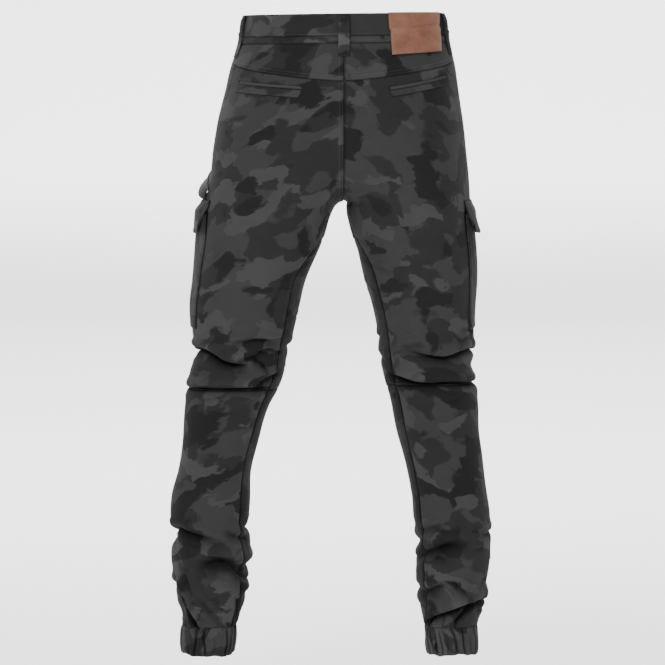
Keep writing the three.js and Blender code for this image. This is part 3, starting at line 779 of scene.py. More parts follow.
twill = {
    "tones": {
        "ground": (0.0172, 0.0173, 0.0177, 1), "dark": (0.0107, 0.0108, 0.0111, 1),
        "mid": (0.0292, 0.0294, 0.0298, 1), "light": (0.0392, 0.0394, 0.0400, 1),
    },
    # shapes for each metre, and the share of the noise over which the shape shows
    "mid": {"scale": 15, "over": 0.503, "shift": (3.1, 0.4, 0)},
    "light": {"scale": 18, "over": 0.575, "shift": (9.3, 5.2, 4)},
    "dark": {"scale": 17, "over": 0.58, "shift": (1.7, 8.8, 9)},
    "detail": 1.6, "detailShare": 0.45, "softness": 0.012, "turn": -22, "stretch": (0.85, 1.2, 1),
    # the edges are bent by slow noise, and made ragged by small cells
    "warp": {"scale": 16, "detail": 2.5, "amount": 0.042},
    "jag": {"cell": 95, "rounding": 0.12, "amount": 0.0055},
    # yarns: fine flecks, and a slow unevenness of the dye
    "fleck": {"scale": 900, "weight": 0.30}, "dye": {"scale": 22, "weight": 0.22, "shift": (4, 4, 4)},
    "level": 0.74, "toneWeight": 0.95, "ribs": 71.5, "ribTurn": 27, "ribBend": 0.4, "yarns": 1400,
    "bump": 0.35, "bumpHeight": 0.0004, "bumpWeight": 0.6,
    "shader": {"Roughness": 0.9, "Specular IOR Level": 0.1, "Sheen Weight": 0.02, "Sheen Roughness": 0.6},
    "reverse": {"dark": (0.03, 0.03, 0.032, 1), "light": (0.065, 0.065, 0.068, 1), "fleck": 700, "bump": 0.3,
                "shader": {"Roughness": 0.92, "Specular IOR Level": 0.1}},
}


def makeCamoTwill():
    material, tree, shader = startMaterial("camouflage_twill", twill["shader"])
    uv, warp, jag, fleck, dye = clothUv(tree), twill["warp"], twill["jag"], twill["fleck"], twill["dye"]
    at = vectorMath(tree, "MULTIPLY", turned(tree, uv, twill["turn"]), twill["stretch"])
    at = bend(tree, at, noise(tree, at, warp["scale"], warp["detail"]).outputs["Color"], warp["amount"])
    cells = {"Vector": at, "Scale": jag["cell"], "Smoothness": jag["rounding"]}
    cells = addNode(tree, "ShaderNodeTexVoronoi", cells, feature="SMOOTH_F1")
    at = bend(tree, at, cells.outputs["Color"], jag["amount"])
    colour = twill["tones"]["ground"]
    for tone in ("mid", "light", "dark"):
        shape = twill[tone]
        found = noise(tree, at, shape["scale"], twill["detail"], twill["detailShare"], shape["shift"])
        share = edge(tree, found.outputs[0], shape["over"], twill["softness"])
        colour = mixColour(tree, share, colour, twill["tones"][tone])
    flecks = noise(tree, uv, fleck["scale"], 2).outputs[0]
    uneven = noise(tree, uv, dye["scale"], 2, shift=dye["shift"]).outputs[0]
    weights = (flecks, fleck["weight"]), (uneven, dye["weight"])
    shadeColour(tree, shader, colour, twill["level"], twill["toneWeight"], *weights)
    addRibs(tree, shader, uv, twill["bump"])
    return material


def addRibs(tree, shader, uv, strength):
    # diagonal ribs, broken up by the yarns
    at = turned(tree, uv, twill["ribTurn"])
    rib = {"Vector": at, "Scale": twill["ribs"], "Distortion": twill["ribBend"]}
    rib = addNode(tree, "ShaderNodeTexWave", rib, bands_direction="Y").outputs["Fac"]
    yarn = noise(tree, uv, twill["yarns"], 1).outputs[0]
    weight = twill["bumpWeight"]
    addBump(tree, shader, strength, twill["bumpHeight"], (rib, weight), (yarn, weight))


def makeReverseTwill():
    reverse = twill["reverse"]
    material, tree, shader = startMaterial("twill_reverse", reverse["shader"])
    uv = clothUv(tree)
    flecks = noise(tree, uv, reverse["fleck"], 2).outputs[0]
    setInputs(tree, shader, {"Base Color": mixColour(tree, flecks, reverse["dark"], reverse["light"])})
    addRibs(tree, shader, uv, reverse["bump"])
    return material


camoTwill = makeCamoTwill()
reverseTwill = makeReverseTwill()
print("the twill is ready")

# Leg panels
legPanels = {
    "step": 3.4, "round": 82, "roll": 0.9, "rollWidth": 1.7, "ridge": 0.55, "ridgeWidth": 9.3,
    "rows": (2.2, 7.6), "rowWidth": 0.5, "rowDepth": 0.28, "shade": 0.55, "shadeWidth": 1.3,
    # weights of the painted light and shade: crease ridges painted lighter, the shade under crease lips and the
    # welt's slit painted darker
    "tone": {"push": 0.02, "crease": 0.062, "dent": 0.32, "lowest": -0.84, "highest": 0.12},
    # the inner side of the front lies in shade, below a level
    "innerShade": {"amount": 0.58, "width": 44, "from": -290, "to": -360},
}

# rows between levels: from, to, step
rowBands = [
    (-26, -76, 2.6), (-76, -108, 1.3), (-108, -262, 4), (-262, -320, 2.6), (-320, -484, 4),
    (-484, -612, 1.7), (-612, -786, 4), (-786, -960, 1.7),
]


def rowLevels(top, foot):
    ends = np.array(besideSeam)
    levels = np.concatenate([np.arange(a, b, -step) for a, b, step in rowBands])
    inside = levels[(levels < top - 12) & (levels > foot + 12)]
    return np.concatenate([top - ends, inside, (foot + ends)[::-1]])


def distances(points):
    # from a piece's outer side seam, its inner one, its top and its foot
    across, down = runAlong(points, 1), runAlong(points, 0)
    return across, across[:, -1:] - across, down, down[-1:] - down


def seamEdge(away, felled):
    # what a seam does to the cloth at a distance from it: the edge rolls in, and a felled side has a flat ridge
    roll = -legPanels["roll"] * (1 - smooth(0, legPanels["rollWidth"], away))
    width = legPanels["ridgeWidth"]
    ridge = smooth(0.6, 2, away) * (1 - smooth(width - 1, width + 0.8, away)) * felled
    sewn = sum(bell(away - row, legPanels["rowWidth"]) for row in legPanels["rows"])
    return roll + legPanels["ridge"] * ridge - legPanels["rowDepth"] * sewn * felled


def seamEdges(sides, felled):
    return sum(seamEdge(away, share) for away, share in zip(sides, felled))


def seamShade(*sides):
    return sum(legPanels["shade"] * bell(away, legPanels["shadeWidth"]) for away in sides)


def clothPlaces(across, z, shift=(0, 0)):
    # where the points lie on the flat cloth, in metres; the shift gives each piece its own part of the pattern
    return np.stack([across + 0 * z, z], -1) * mm + np.array(shift)


def panelPlaces(leg, panel, levels, topEdge=None):
    # angle and level for each point of a panel
    seams = np.stack([outerSeam(leg, levels, panel), innerSeam(leg, levels, panel)])
    u = spread(np.abs(np.diff(seams, axis=0)).mean() * legPanels["round"], legPanels["step"])
    z = np.repeat(levels[:, None], len(u), 1)
    if topEdge is not None:
        top = topEdge(u)[None, :]
        fall = (levels - levels[0]) / (cut["straightBelow"] - levels[0])
        z = np.where(z > cut["straightBelow"], between(top, cut["straightBelow"], fall[:, None]), z)
    return outerSeam(leg, z, panel) * (1 - u) + innerSeam(leg, z, panel) * u, z


# seam allowances: how far they reach under the next piece, and how deep they lie
under = {"steps": (0.5, 2.2, 6), "deep": {"left": -1.9, "right": -3.6, "waist": -2.6}}


def tuckUnder(leg, panel, angle, z, points):
    # The cloth past a panel's side seams lies under its neighbours, so that no seam stands open.
    deep, other = under["deep"][leg["name"]], right if leg["side"] > 0 else left
    joined = (np.abs(points[0][:, -1, 0]) < 2)[:, None]

    def allowance(column, inward, depth, distance):
        level = z[:, column]
        way = np.sign(angle[0, column] - angle[0, inward])
        reach = distance / roundScale(leg, angle[:, column], level) * way
        own = surface(leg, angle[:, column] + reach, level, depth)
        if column == 0:
            return own
        across = angleFromPlane(other, distance, level, panel)
        beyond = joined & ~np.isnan(across)[:, None]
        return np.where(beyond, surface(other, np.nan_to_num(across), level, depth), own)

    tucked = []
    for grid, depth in zip(points, (deep, deep - cut["cloth"])):
        last = [allowance(-1, 0, depth, distance)[:, None] for distance in under["steps"]]
        first = []
        if panel == "back":
            first = [allowance(0, -1, depth, distance)[:, None] for distance in under["steps"][::-1]]
        tucked.append(np.concatenate([*first, grid, *last], 1))
    return tucked


def sewPanel(name, leg, panel, angle, z, outer, tone, uv):
    grids[name] = (outer, surface(leg, angle, z, -cut["cloth"] + 0 * z))
    outer, inner = tuckUnder(leg, panel, angle, z, grids[name])
    more = len(under["steps"])
    sides = (more if panel == "back" else 0, more)
    uv, tone = np.pad(uv, ((0, 0), sides, (0, 0)), mode="edge"), np.pad(tone, ((0, 0), sides), mode="edge")
    addSheet(name, outer, inner, uv, tone)


def addPanel(name, leg, panel, levels, felled, shift, topEdge=None, dent=None):
    name = name + "_" + leg["name"]
    angle, z = panelPlaces(leg, panel, levels, topEdge)
    sides = outside, inside, above, below = distances(surface(leg, angle, z))
    dented = 0 * z if dent is None else dent(leg, angle, z)
    outer = surface(leg, angle, z, np.maximum(seamEdges(sides, (*felled, 0, 0)) + dented, -4))
    push, shade = creaseMove(leg, angle, z)[::2]
    footSoft = 2.2 * (levels[-1] < cut["cuffTop"] + 5)
    weights, dark = legPanels["tone"], legPanels["innerShade"]
    # painted light and shade: crease ridges lighter, crease troughs and lips darker, and painted shade in the
    # welt's slit, along the seams and on the front's inner side
    tone = weights["push"] * push - weights["crease"] * shade + weights["dent"] * dented
    tone = tone - seamShade(outside, inside, above, below + footSoft)
    if panel == "front":
        tone = tone - dark["amount"] * bell(inside, dark["width"]) * smooth(dark["from"], dark["to"], z)
    tone = np.clip(tone, weights["lowest"], weights["highest"])
    sewPanel(name, leg, panel, angle, z, outer, tone, clothPlaces(outside, z, shift))


def yokeSeam(u):
    return cut["yokeAtSeat"] + cut["yokeRise"] * (1 - u)


weltPlaces = {
    "left": {"from": 30, "to": 81, "atSide": -87, "atSeat": -97, "height": 15},
    "right": {"from": 28, "to": 79, "atSide": -81, "atSeat": -100, "height": 12},
}
weltSlit = {"under": 1.2, "depth": 3.4, "width": 2.1, "fade": 3}


def weltTop(place, degrees):
    return between(place["atSide"], place["atSeat"], (degrees - place["from"]) / (place["to"] - place["from"]))


def pressSlit(leg, angle, z):
    # the pocket's slit, pressed into the cloth along the welt's top edge
    place, degrees, fade = weltPlaces[leg["name"]], np.degrees(angle), weltSlit["fade"]
    level = z - weltTop(place, degrees) - weltSlit["under"]
    fromEnd = np.minimum(degrees - place["from"], place["to"] - degrees)
    return -weltSlit["depth"] * bell(level, weltSlit["width"]) * smooth(0, fade, fromEnd)


def addLegPanels(leg):
    knee, gap, s = cut["knee"][leg["name"]], cut["seamGap"], leg["side"]
    seat = int(s > 0)  # the seat seam is felled to the left
    backTop = cut["yokeAtSeat"] + cut["yokeRise"] / 2
    thigh, calf = knee + gap / 2, rowLevels(knee - gap / 2, cut["cuffTop"])
    addPanel("back_thigh", leg, "back", rowLevels(backTop, thigh), (1, seat), (0.7 + s * 0.31, 0.2),
             lambda u: yokeSeam(u) - gap / 2, pressSlit)
    addPanel("back_calf", leg, "back", calf, (1, 0), (1.9 + s * 0.47, 0.5))
    frontTop = cut["stripFoot"] - gap
    addPanel("front_thigh", leg, "front", rowLevels(frontTop, thigh), (0, 0), (3.1 + s * 0.83, 0.9))
    addPanel("front_calf", leg, "front", calf, (0, 0), (4.3 + s * 0.21, 0.1))


yoke = {"height": 47, "downStep": 3, "width": 175}


def addYoke(leg):
    top = cut["stripFoot"] - cut["seamGap"]
    down, u = shares(spread(yoke["height"], yoke["downStep"]), spread(yoke["width"], legPanels["step"]))
    z = between(top, yokeSeam(u) + cut["seamGap"] / 2, down)
    angle = outerSeam(leg, z, "back") * (1 - u) + innerSeam(leg, z, "back") * u
    sides = distances(surface(leg, angle, z))
    outer = surface(leg, angle, z, seamEdges(sides, (0, int(leg["side"] > 0), 0, 1)))
    uv = clothPlaces(sides[0], z, (5.2 + 0.6 * leg["side"], 0.3))
    sewPanel("yoke_" + leg["name"], leg, "back", angle, z, outer, -seamShade(*sides), uv)


for leg in (left, right):
    addLegPanels(leg)
    addYoke(leg)
print("leg panels and yokes are sewn")


# Waistband and the strip under it
def waistPlace(share, z):
    # Share 0 is the centre front, 0.5 the centre back; the first half goes round the wearer's left.
    onLeft = share < 0.5
    half = np.where(onLeft, share * 2, 2 - share * 2)
    angle = np.zeros_like(share)
    for leg, here in ((left, onLeft), (right, ~onLeft)):
        front = innerSeam(leg, z, "front") - 2 * np.pi
        back = innerSeam(leg, z, "back")
        angle = np.where(here, between(front, back, half), angle)
    return onLeft, angle


def onWaist(share, z, out):
    onLeft, angle = waistPlace(share, z)
    return np.where(onLeft[..., None], surface(left, angle, z, out), surface(right, angle, z, out))


band = {
    "first": -0.022, "last": 0.995, "over": 2.3, "overUpTo": 0.002, "downFrom": 0.03,
    "length": 860, "step": 3.6, "depth": 35, "downStep": 2.4, "inner": -2.2, "swell": 0.5, "tone": 0.42,
    "rows": (3, 2.5), "rowWidth": 0.5, "rowDepth": 0.3, "pucker": 0.22, "sag": 0.45,
}
strip = {"rows": 13, "gap": 0.0002, "roll": 1.9, "edges": -0.7, "pucker": 0.25, "tone": 0.22}


def addWaistband():
    down, share = shares(spread(band["depth"], band["downStep"]), spread(band["length"], band["step"]))
    share, z = between(band["first"], band["last"], share), between(cut["bandTop"], cut["bandFoot"], down)
    wrapped = np.where(share < 0, share + 1, share)
    over = band["over"] * (1 - smooth(band["overUpTo"], band["downFrom"], share))
    run = (share - band["first"]) * band["length"]
    above, below = cut["bandTop"] - z, z - cut["bandFoot"]
    sewn = sum(bell(away - row, band["rowWidth"]) for away, row in zip((above, below), band["rows"]))
    pucker = band["pucker"] * np.sin(run / 3.1 + 2 * np.sin(run / 23)) * np.exp(-np.minimum(above, below) / 3)
    roundness = band["swell"] * np.sin(np.pi * np.clip(above / band["depth"], 0, 1)) ** 0.5
    sag = band["sag"] * np.sin(run / 38 + 1) * np.sin(run / 17)
    out = over + seamEdges((above, below), (0, 0)) + roundness - band["rowDepth"] * sewn + pucker + sag
    outer, inner = onWaist(wrapped, z, out), onWaist(wrapped, z, over + band["inner"])
    tone = band["tone"] - seamShade(above, below)
    addSheet("waistband", outer, inner, clothPlaces(run, z, (7.4, 0.6)), tone)
    print("the waistband is sewn")


def addStrip():
    top = cut["bandFoot"] - cut["seamGap"]
    share = spread(band["length"], band["step"]) * (1 - 2 * strip["gap"]) + strip["gap"]
    level = between(top, cut["stripFoot"], np.linspace(0, 1, strip["rows"]))
    # its allowances lie under the waistband and across the centre front
    reach = np.array(under["steps"])
    z, share = shares(np.append(top + reach[::-1], level), np.append(share, 1 + reach / band["length"]))
    tucked = (z > top + 0.1) | (share > 1)
    down = np.clip((z - top) / (cut["stripFoot"] - top), 0, 1)
    run = share * band["length"]
    roll = strip["roll"] * np.sin(np.pi * down) ** 0.7 + strip["edges"]
    pucker = strip["pucker"] * np.sin(run / 2.7 + 2 * np.sin(run / 31)) * np.sin(np.pi * down)
    around = np.where(share > 1, share - 1, share)
    deep = under["deep"]["waist"]
    outer = onWaist(around, z, np.where(tucked, deep, roll + pucker))
    inner = onWaist(around, z, np.where(tucked, deep, 0) - cut["cloth"])
    # painted highlight along the crown of the strip's roll
    tone = strip["tone"] * np.sin(np.pi * down)
    addSheet("waistband_strip", outer, inner, clothPlaces(run, z, (8.6, 0.1)), tone)


addWaistband()
addStrip()

# Cuffs
cuff = {
    "columns": 361, "depth": 46, "step": 1.7, "wave": ((1.7, 2, 1), (1.3, 5, -1), (0.8, 11, 0)), "hemWave": 0.8,
    "out": 0.4, "in": -2.4, "plump": 1.6, "lumps": 1.1, "rows": (0.07, 0.9), "rowWidth": 0.012, "rowDepth": 0.3,
    "pleatShade": 0.17, "tone": 0.03, "lowest": -0.8, "highest": 0.1, "round": 1.1,
}


def addCuff(leg):
    top, side = cut["cuffTop"] - cut["seamGap"], leg["side"]
    fall, angle = shares(spread(cuff["depth"], cuff["step"]), np.linspace(0, 2 * np.pi, cuff["columns"]))
    wave = sum(high * np.sin(count * angle + start * side) for high, count, start in cuff["wave"])
    z = between(top, cut["hem"] + wave * cuff["hemWave"], fall)
    lumps = cuff["lumps"] * np.sin(7 * angle + 3 * side * np.sin(2 * angle))
    plump = (cuff["plump"] + lumps) * np.sin(np.pi * fall)
    sewn = sum(bell(fall - row, cuff["rowWidth"]) for row in cuff["rows"])
    edges = seamEdges((fall * cuff["depth"], (1 - fall) * cuff["depth"]), (0, 0))
    depth = pleatDepth(leg, angle, fall)
    outer = surface(leg, angle, z, cuff["out"] + plump - depth - cuff["rowDepth"] * sewn + edges)
    inner = surface(leg, angle, z, cuff["in"] + 0.5 * plump - 0.7 * np.maximum(depth, 0))
    for grid in (outer, inner):
        grid[:, -1] = grid[:, 0]
    uv = clothPlaces(np.degrees(angle) * cuff["round"], z, (9.1 + side * 0.3, 0.7))
    tone = np.clip(cuff["tone"] - cuff["pleatShade"] * depth, cuff["lowest"], cuff["highest"])
    addSheet("cuff_" + leg["name"], outer, inner, uv, tone, around=True)


for leg in (left, right):
    addCuff(leg)
print("the cuffs are gathered")


# What is sewn onto the panels
def patchGrid(angles, top, bottom, size, step):
    # shares across and down, angle and level, for a piece between two angles, its top and its foot
    v, u = shares(spread(size[1], step), spread(size[0], step))
    return u, v, np.radians(between(*angles, u)), top(u) * (1 - v) + bottom(u) * v


def addPatch(name, leg, grid, thick, lift, shift, hems=(0, 0, 0, 0), form=None, shade=0):
    u, v, angle, z = grid
    sides = distances(surface(leg, angle, z))
    off = cut["layGap"] + lift(u, v)
    shaped = 0 * u if form is None else form(*sides)
    outer = surface(leg, angle, z, off + thick + np.maximum(seamEdges(sides, hems), -0.8 * thick) + shaped)
    # painted light on the raised form, painted shade along the seams, and the painted shade given for each piece
    tone = 0.03 * shaped - seamShade(*sides) - shade
    addSheet(name, outer, surface(leg, angle, z, off), clothPlaces(sides[0], z, shift), tone)


pocket = {
    "from": -58, "to": 29, "mouth": -296, "foot": -482, "width": 175, "step": 2.8, "thick": 1.4, "sag": 1.3,
    "left": {"swell": 7.5, "flare": 1}, "right": {"swell": 6, "flare": 4},
    # the flap's shadow on the pocket's rear edge
    "shade": 0.75, "shadeFrom": (0.85, 0.95), "shadeDownTo": (0.14, 0.22),
}
flap = {
    "top": -276, "foot": -327, "sag": 5, "over": 2, "width": 182, "height": 47, "step": 2.2, "thick": 2.0,
    # how it turns out over the pocket's mouth, and how its rear corner tapers and stands clear of the pocket
    "clear": 2.3, "turn": 0.36, "taper": 10, "cornerClear": 2.5, "corner": 11, "curl": 1.2,
}


def pocketSwell(leg, u, v):
    return pocket[leg["name"]]["swell"] * np.sin(np.pi * u) ** 0.7 * (1 - 0.75 * v) * (1 - v**6)


def addCargoPocket(leg):
    name, side = leg["name"], leg["side"]
    angles, size = (pocket["from"], pocket["to"]), (pocket["width"], pocket["mouth"] - pocket["foot"])
    grid = patchGrid(angles, lambda u: pocket["mouth"], lambda u: pocket["foot"], size, pocket["step"])

    def lift(u, v):
        sag = pocket["sag"] * np.sin(3 * np.pi * u + side) * np.sin(np.pi * v) * np.sin(2.3 * np.pi * v + 1)
        return pocketSwell(leg, u, v) + sag * np.sin(np.pi * u)

    u, v = grid[:2]
    shade = pocket["shade"] * smooth(*pocket["shadeFrom"], u) * (1 - smooth(*pocket["shadeDownTo"], v))
    addPatch("cargo_pocket_" + name, leg, grid, pocket["thick"], lift, (10.3 + 0.4 * side, 0.2), (1, 1, 1, 1),
             shade=shade)


def addCargoFlap(leg):
    name, side = leg["name"], leg["side"]

    def bottom(u):
        radius = flap["corner"]
        inCorner = np.maximum(radius - np.minimum(u, 1 - u) * flap["width"], 0)
        return flap["foot"] - flap["sag"] * np.sin(np.pi * u) + radius - np.sqrt(radius**2 - inCorner**2)

    angles, size = (pocket["from"] - flap["over"], pocket["to"] + flap["over"]), (flap["width"], flap["height"])
    u, v, angle, z = patchGrid(angles, lambda u: flap["top"], bottom, size, flap["step"])
    corner = smooth(0.1, 1, v) * u**5
    angle = angle - np.radians(flap["taper"]) * corner
    share = np.clip((np.degrees(angle) - pocket["from"]) / (pocket["to"] - pocket["from"]), 0, 1)

    def lift(u, v):
        clear = (pocketSwell(leg, share, 0) + flap["clear"]) * smooth(0, flap["turn"], v)
        flare = pocket[name]["flare"] * v * v * (0.55 + 0.45 * np.sin(np.pi * u))
        curl = flap["curl"] * np.sin(5 * u + side) * np.sin(np.pi * u) * v * v
        return clear + flap["cornerClear"] * corner + flare + curl

    addPatch("cargo_flap_" + name, leg, (u, v, angle, z), flap["thick"], lift, (11.7 + 0.5 * side, 0.5),
             (1, 1, 0, 1))


zipWelt = {
    "from": -48, "to": 20, "atFront": -216, "atBack": -257, "height": 31, "lowest": -275, "puff": 9,
    "size": (135, 36), "step": 1.8, "thick": 1.6,
}


def addZipWelt(leg):
    def top(u):
        return between(zipWelt["atFront"], zipWelt["atBack"], u)

    def bottom(u):
        return np.maximum(top(u) - zipWelt["height"], zipWelt["lowest"])

    def lift(u, v):
        arch = np.sin(np.pi * np.clip(u, 0, 1)) ** 0.5
        return zipWelt["puff"] * np.sin(np.pi * v**1.5).clip(0) ** 0.6 * arch

    grid = patchGrid((zipWelt["from"], zipWelt["to"]), top, bottom, zipWelt["size"], zipWelt["step"])
    addPatch("zip_welt_left", leg, grid, zipWelt["thick"], lift, (12.9, 0.3), (0, 0, 1, 1))


# the folded lip stands a little proud along the slit, a bar tack holds each end down, and the slit is in shade
backWelt = {
    "width": 105, "step": 1.3, "thick": 1.2, "lip": 0.9, "lipAt": 5, "lipWidth": 2, "slitWidth": 2.4,
    "tack": 0.35, "tackAt": 2, "tackWidth": 1.6, "shade": 0.12, "slitShade": 0.75, "slitShadeWidth": 2.8,
}


def addBackWelt(leg):
    name, place = leg["name"], weltPlaces[leg["name"]]

    def top(u):
        return between(place["atSide"], place["atSeat"], u)

    def form(outside, inside, above, below):
        lip = backWelt["lip"] * bell(above - backWelt["lipAt"], backWelt["lipWidth"])
        lip = lip - backWelt["lip"] * bell(above, backWelt["slitWidth"])
        tack = bell(np.minimum(outside, inside) - backWelt["tackAt"], backWelt["tackWidth"])
        return lip * (1 - tack) - backWelt["tack"] * tack

    angles, size = (place["from"], place["to"]), (backWelt["width"], place["height"])
    grid = patchGrid(angles, top, lambda u: top(u) - place["height"], size, backWelt["step"])
    slit = np.exp(-((grid[1] * place["height"] / backWelt["slitShadeWidth"]) ** 4))
    shade, shift = backWelt["shade"] + backWelt["slitShade"] * slit, (13.8 + 0.4 * leg["side"], 0.8)
    addPatch("back_welt_" + name, leg, grid, backWelt["thick"], lambda u, v: 0 * u, shift,
             form=form, shade=shade)


for leg in (left, right):
    addCargoPocket(leg)
    addCargoFlap(leg)
    addBackWelt(leg)
addZipWelt(left)
print("pockets, flaps and welts are on")

# Fly: two rows sewn in a J, from the top and round the foot
fly = {
    "width": 38, "step": 2.6, "length": 166, "downStep": 3.2, "foot": -192, "corner": 34, "thick": 1.3,
    "rows": (4, 9.5), "rowWidth": 0.6, "rowDepth": 0.35,
}


def addFly(leg):
    top = cut["stripFoot"] - cut["seamGap"]
    v, u = shares(spread(fly["length"], fly["downStep"]), spread(fly["width"], fly["step"]))
    z = between(top, fly["foot"], v)
    rise = np.maximum(fly["corner"] - (z - fly["foot"]), 0) / fly["corner"]
    width = fly["width"] * np.sqrt(np.maximum(1 - rise**2, 0.02))
    grid = u, v, angleFromPlane(leg, cut["seamGap"] / 2 + width * u, z, "front"), z

    def lift(u, v):
        return 0.3 * np.sin(3 * np.pi * v) * np.sin(np.pi * u)

    def form(outside, inside, above, below):
        away = np.minimum(inside, below)
        return -fly["rowDepth"] * sum(bell(away - row, fly["rowWidth"]) for row in fly["rows"])

    addPatch("fly", leg, grid, fly["thick"], lift, (15.3, 0.4), form=form)


addFly(left)

# Belt loops
loop = {
    "half": 9, "top": 19, "foot": -47, "bend": -11, "bendWidth": 2.6, "thick": 1.9, "swell": 0.5,
    "front": -62, "side": {"left": 12, "right": 13}, "sideMore": -0.4,
    "row": 2.4, "rowWidth": 0.55, "rowDepth": 0.35, "tackAt": 3, "tackWidth": 1.1, "tack": 0.45, "edge": 1.6,
    # level, and how far the loop stands off
    "path": table("""
  z    off
  -47  0.4
  -44  0.5
  -34  1.6
  -22  3.2
  -12  4.4
  -8   4.6
  8    4.2
  15   2.6
  20   0.5
"""),
}


def addLoop(name, place, shift, more=0):
    height = loop["top"] - loop["foot"]
    v, u = shares(spread(height, 2), spread(2 * loop["half"], 2.2))
    z = loop["top"] - height * v
    across = (2 * u - 1) * loop["half"] * (1 - 0.06 * smooth(-14, -9, z))
    off = curve(loop["path"]["z"], loop["path"]["off"], z)
    off = off + more * smooth(0.4, 4, off)
    up = z - loop["bend"]
    off = off + 0.9 * bell(up, loop["bendWidth"]) - 0.7 * bell(up - 5, loop["bendWidth"])
    side = loop["half"] - np.abs(across)
    ends = np.minimum(loop["top"] - z, z - loop["foot"])
    sewn, tack = bell(side - loop["row"], loop["rowWidth"]), bell(ends - loop["tackAt"], loop["tackWidth"])
    edges = -0.7 * (1 - smooth(0, loop["edge"], side)) - 0.5 * (1 - smooth(0, loop["edge"], ends))
    swelled = loop["swell"] * smooth(2.6, 5, side)  # between the two rows
    thick = loop["thick"] + edges + swelled - loop["rowDepth"] * sewn - loop["tack"] * tack
    angles, onLeft = place(across, z)
    outer, inner = (
        np.where(onLeft[..., None], surface(left, angles, z, out), surface(right, angles, z, out))
        for out in (off + thick, off - 0.2)
    )
    tone = 0.45 * smooth(loop["bend"] + 1, loop["bend"] - 2, z) * (z > loop["foot"] + 5) - 0.3 * tack
    addSheet(name, outer, inner, clothPlaces(across, z, shift), tone)


def acrossSeat(across, z):
    angles = [angleFromPlane(leg, np.abs(across), z, "back") for leg in (left, right)]
    return np.where(across > 0, *angles), across > 0


def roundFrom(leg, degrees):
    def place(across, z):
        angle = math.radians(degrees)
        return angle + across / roundScale(leg, np.array(angle), np.array(0.0)), np.full(z.shape, leg is left)
    return place


addLoop("belt_loop_back", acrossSeat, (17.06, 0.7))
for leg in (left, right):
    name, side = leg["name"], leg["side"]
    addLoop("belt_loop_side_" + name, roundFrom(leg, loop["side"][name]), (18.3 + side * 0.4, 0.5),
            loop["sideMore"])
    addLoop("belt_loop_front_" + name, roundFrom(leg, loop["front"]), (19.7 + side * 0.4, 0.9))

# Leather patch: sewn on at its top, with a soft fold across it
patch = {
    "seatTop": 69, "seatFoot": 73, "sideTop": 150, "sideFoot": 151,
    "top": 21, "footAtSide": -42, "footAtSeat": -47,
    "size": (84, 66), "steps": (2.4, 1.8), "thick": 1.8, "edge": 0.6, "edgeWidth": 1.6,
    "fold": -6, "slip": 3, "foldHeight": 1.5, "foldWidth": 3.2, "dent": 1.1, "dentUp": 6, "dentWidth": 3.5,
}
leather = {
    "dark": (0.148, 0.062, 0.038, 1), "light": (0.214, 0.095, 0.060, 1), "cloud": 38,
    "worn": 160, "wornWeight": 0.4, "level": 0.8,
    "grain": 900, "grainWeight": 0.5, "bump": 0.3, "bumpHeight": 0.0005,
    "shader": {"Roughness": 0.52, "Specular IOR Level": 0.25},
}


def makeLeather():
    material, tree, shader = startMaterial("tan_leather", leather["shader"])
    uv = clothUv(tree)
    cloudy = noise(tree, uv, leather["cloud"], 3, 0.55).outputs[0]
    colour = mixColour(tree, edge(tree, cloudy, 0.5, 0.2), leather["dark"], leather["light"])
    worn = noise(tree, uv, leather["worn"], 4, 0.6, (2, 2, 2)).outputs[0]
    shadeColour(tree, shader, colour, leather["level"], 1, (worn, leather["wornWeight"]))
    grain = addNode(tree, "ShaderNodeTexVoronoi", {"Vector": uv, "Scale": leather["grain"]}).outputs["Distance"]
    addBump(tree, shader, leather["bump"], leather["bumpHeight"], (grain, leather["grainWeight"]), (worn, 1))
    return material


def addLeather(leg):
    width, height = patch["size"]
    v, u = shares(spread(height, patch["steps"][1]), spread(width, patch["steps"][0]))
    z = between(patch["top"], between(patch["footAtSeat"], patch["footAtSide"], u), v)
    slip = patch["slip"] * smooth(patch["fold"] + 2, patch["fold"] - 3, z)
    seat = between(patch["seatTop"], patch["seatFoot"], v) + slip * 0.6
    side = between(patch["sideTop"], patch["sideFoot"], v) + slip * 0.3
    across = between(seat, side, u)
    angle = angleFromPlane(leg, across, z, "back")
    up = z - patch["fold"]
    fold = patch["foldHeight"] * bell(up - 1.5 * np.sin(3 * u), patch["foldWidth"])
    fold = fold * (0.55 + 0.45 * np.cos(2.5 * np.pi * u))
    fold = fold - patch["dent"] * bell(up - patch["dentUp"], patch["dentWidth"]) * smooth(0.25, 0.6, u)
    sides = (u * width, (1 - u) * width, v * height, (1 - v) * height)
    edges = -patch["edge"] * sum(1 - smooth(0, patch["edgeWidth"], away) for away in sides)
    lift = 0.9 + 1.6 * smooth(0.45, 1, v) + 0.8 * np.sin(2 * np.pi * u + 0.6) * v
    outer = surface(leg, angle, z, lift + patch["thick"] + edges + fold)
    inner = surface(leg, angle, z, lift + 0.5 * fold)
    # painted highlight on the fold's ridge and painted shade in the dent above it; the rolled edges are darker
    tone = 0.05 * fold - 0.25 * (edges < -0.3)
    addSheet("leather_patch", outer, inner, clothPlaces(across, z), tone,
             [makeLeather()])


addLeather(right)

# Button: a plain shank button at the waistband's front
button = {
    "share": 0.012, "level": 3, "standsOff": 2.6, "radius": 8.5, "rimHeight": 2.8, "sides": 48, "bevel": 0.35,
    # insets from the rim inwards: how wide, and how far up or down
    "insets": [(1.3, 0), (0.8, -0.8), (2.6, 0.7), (2.4, 0.35)],
}


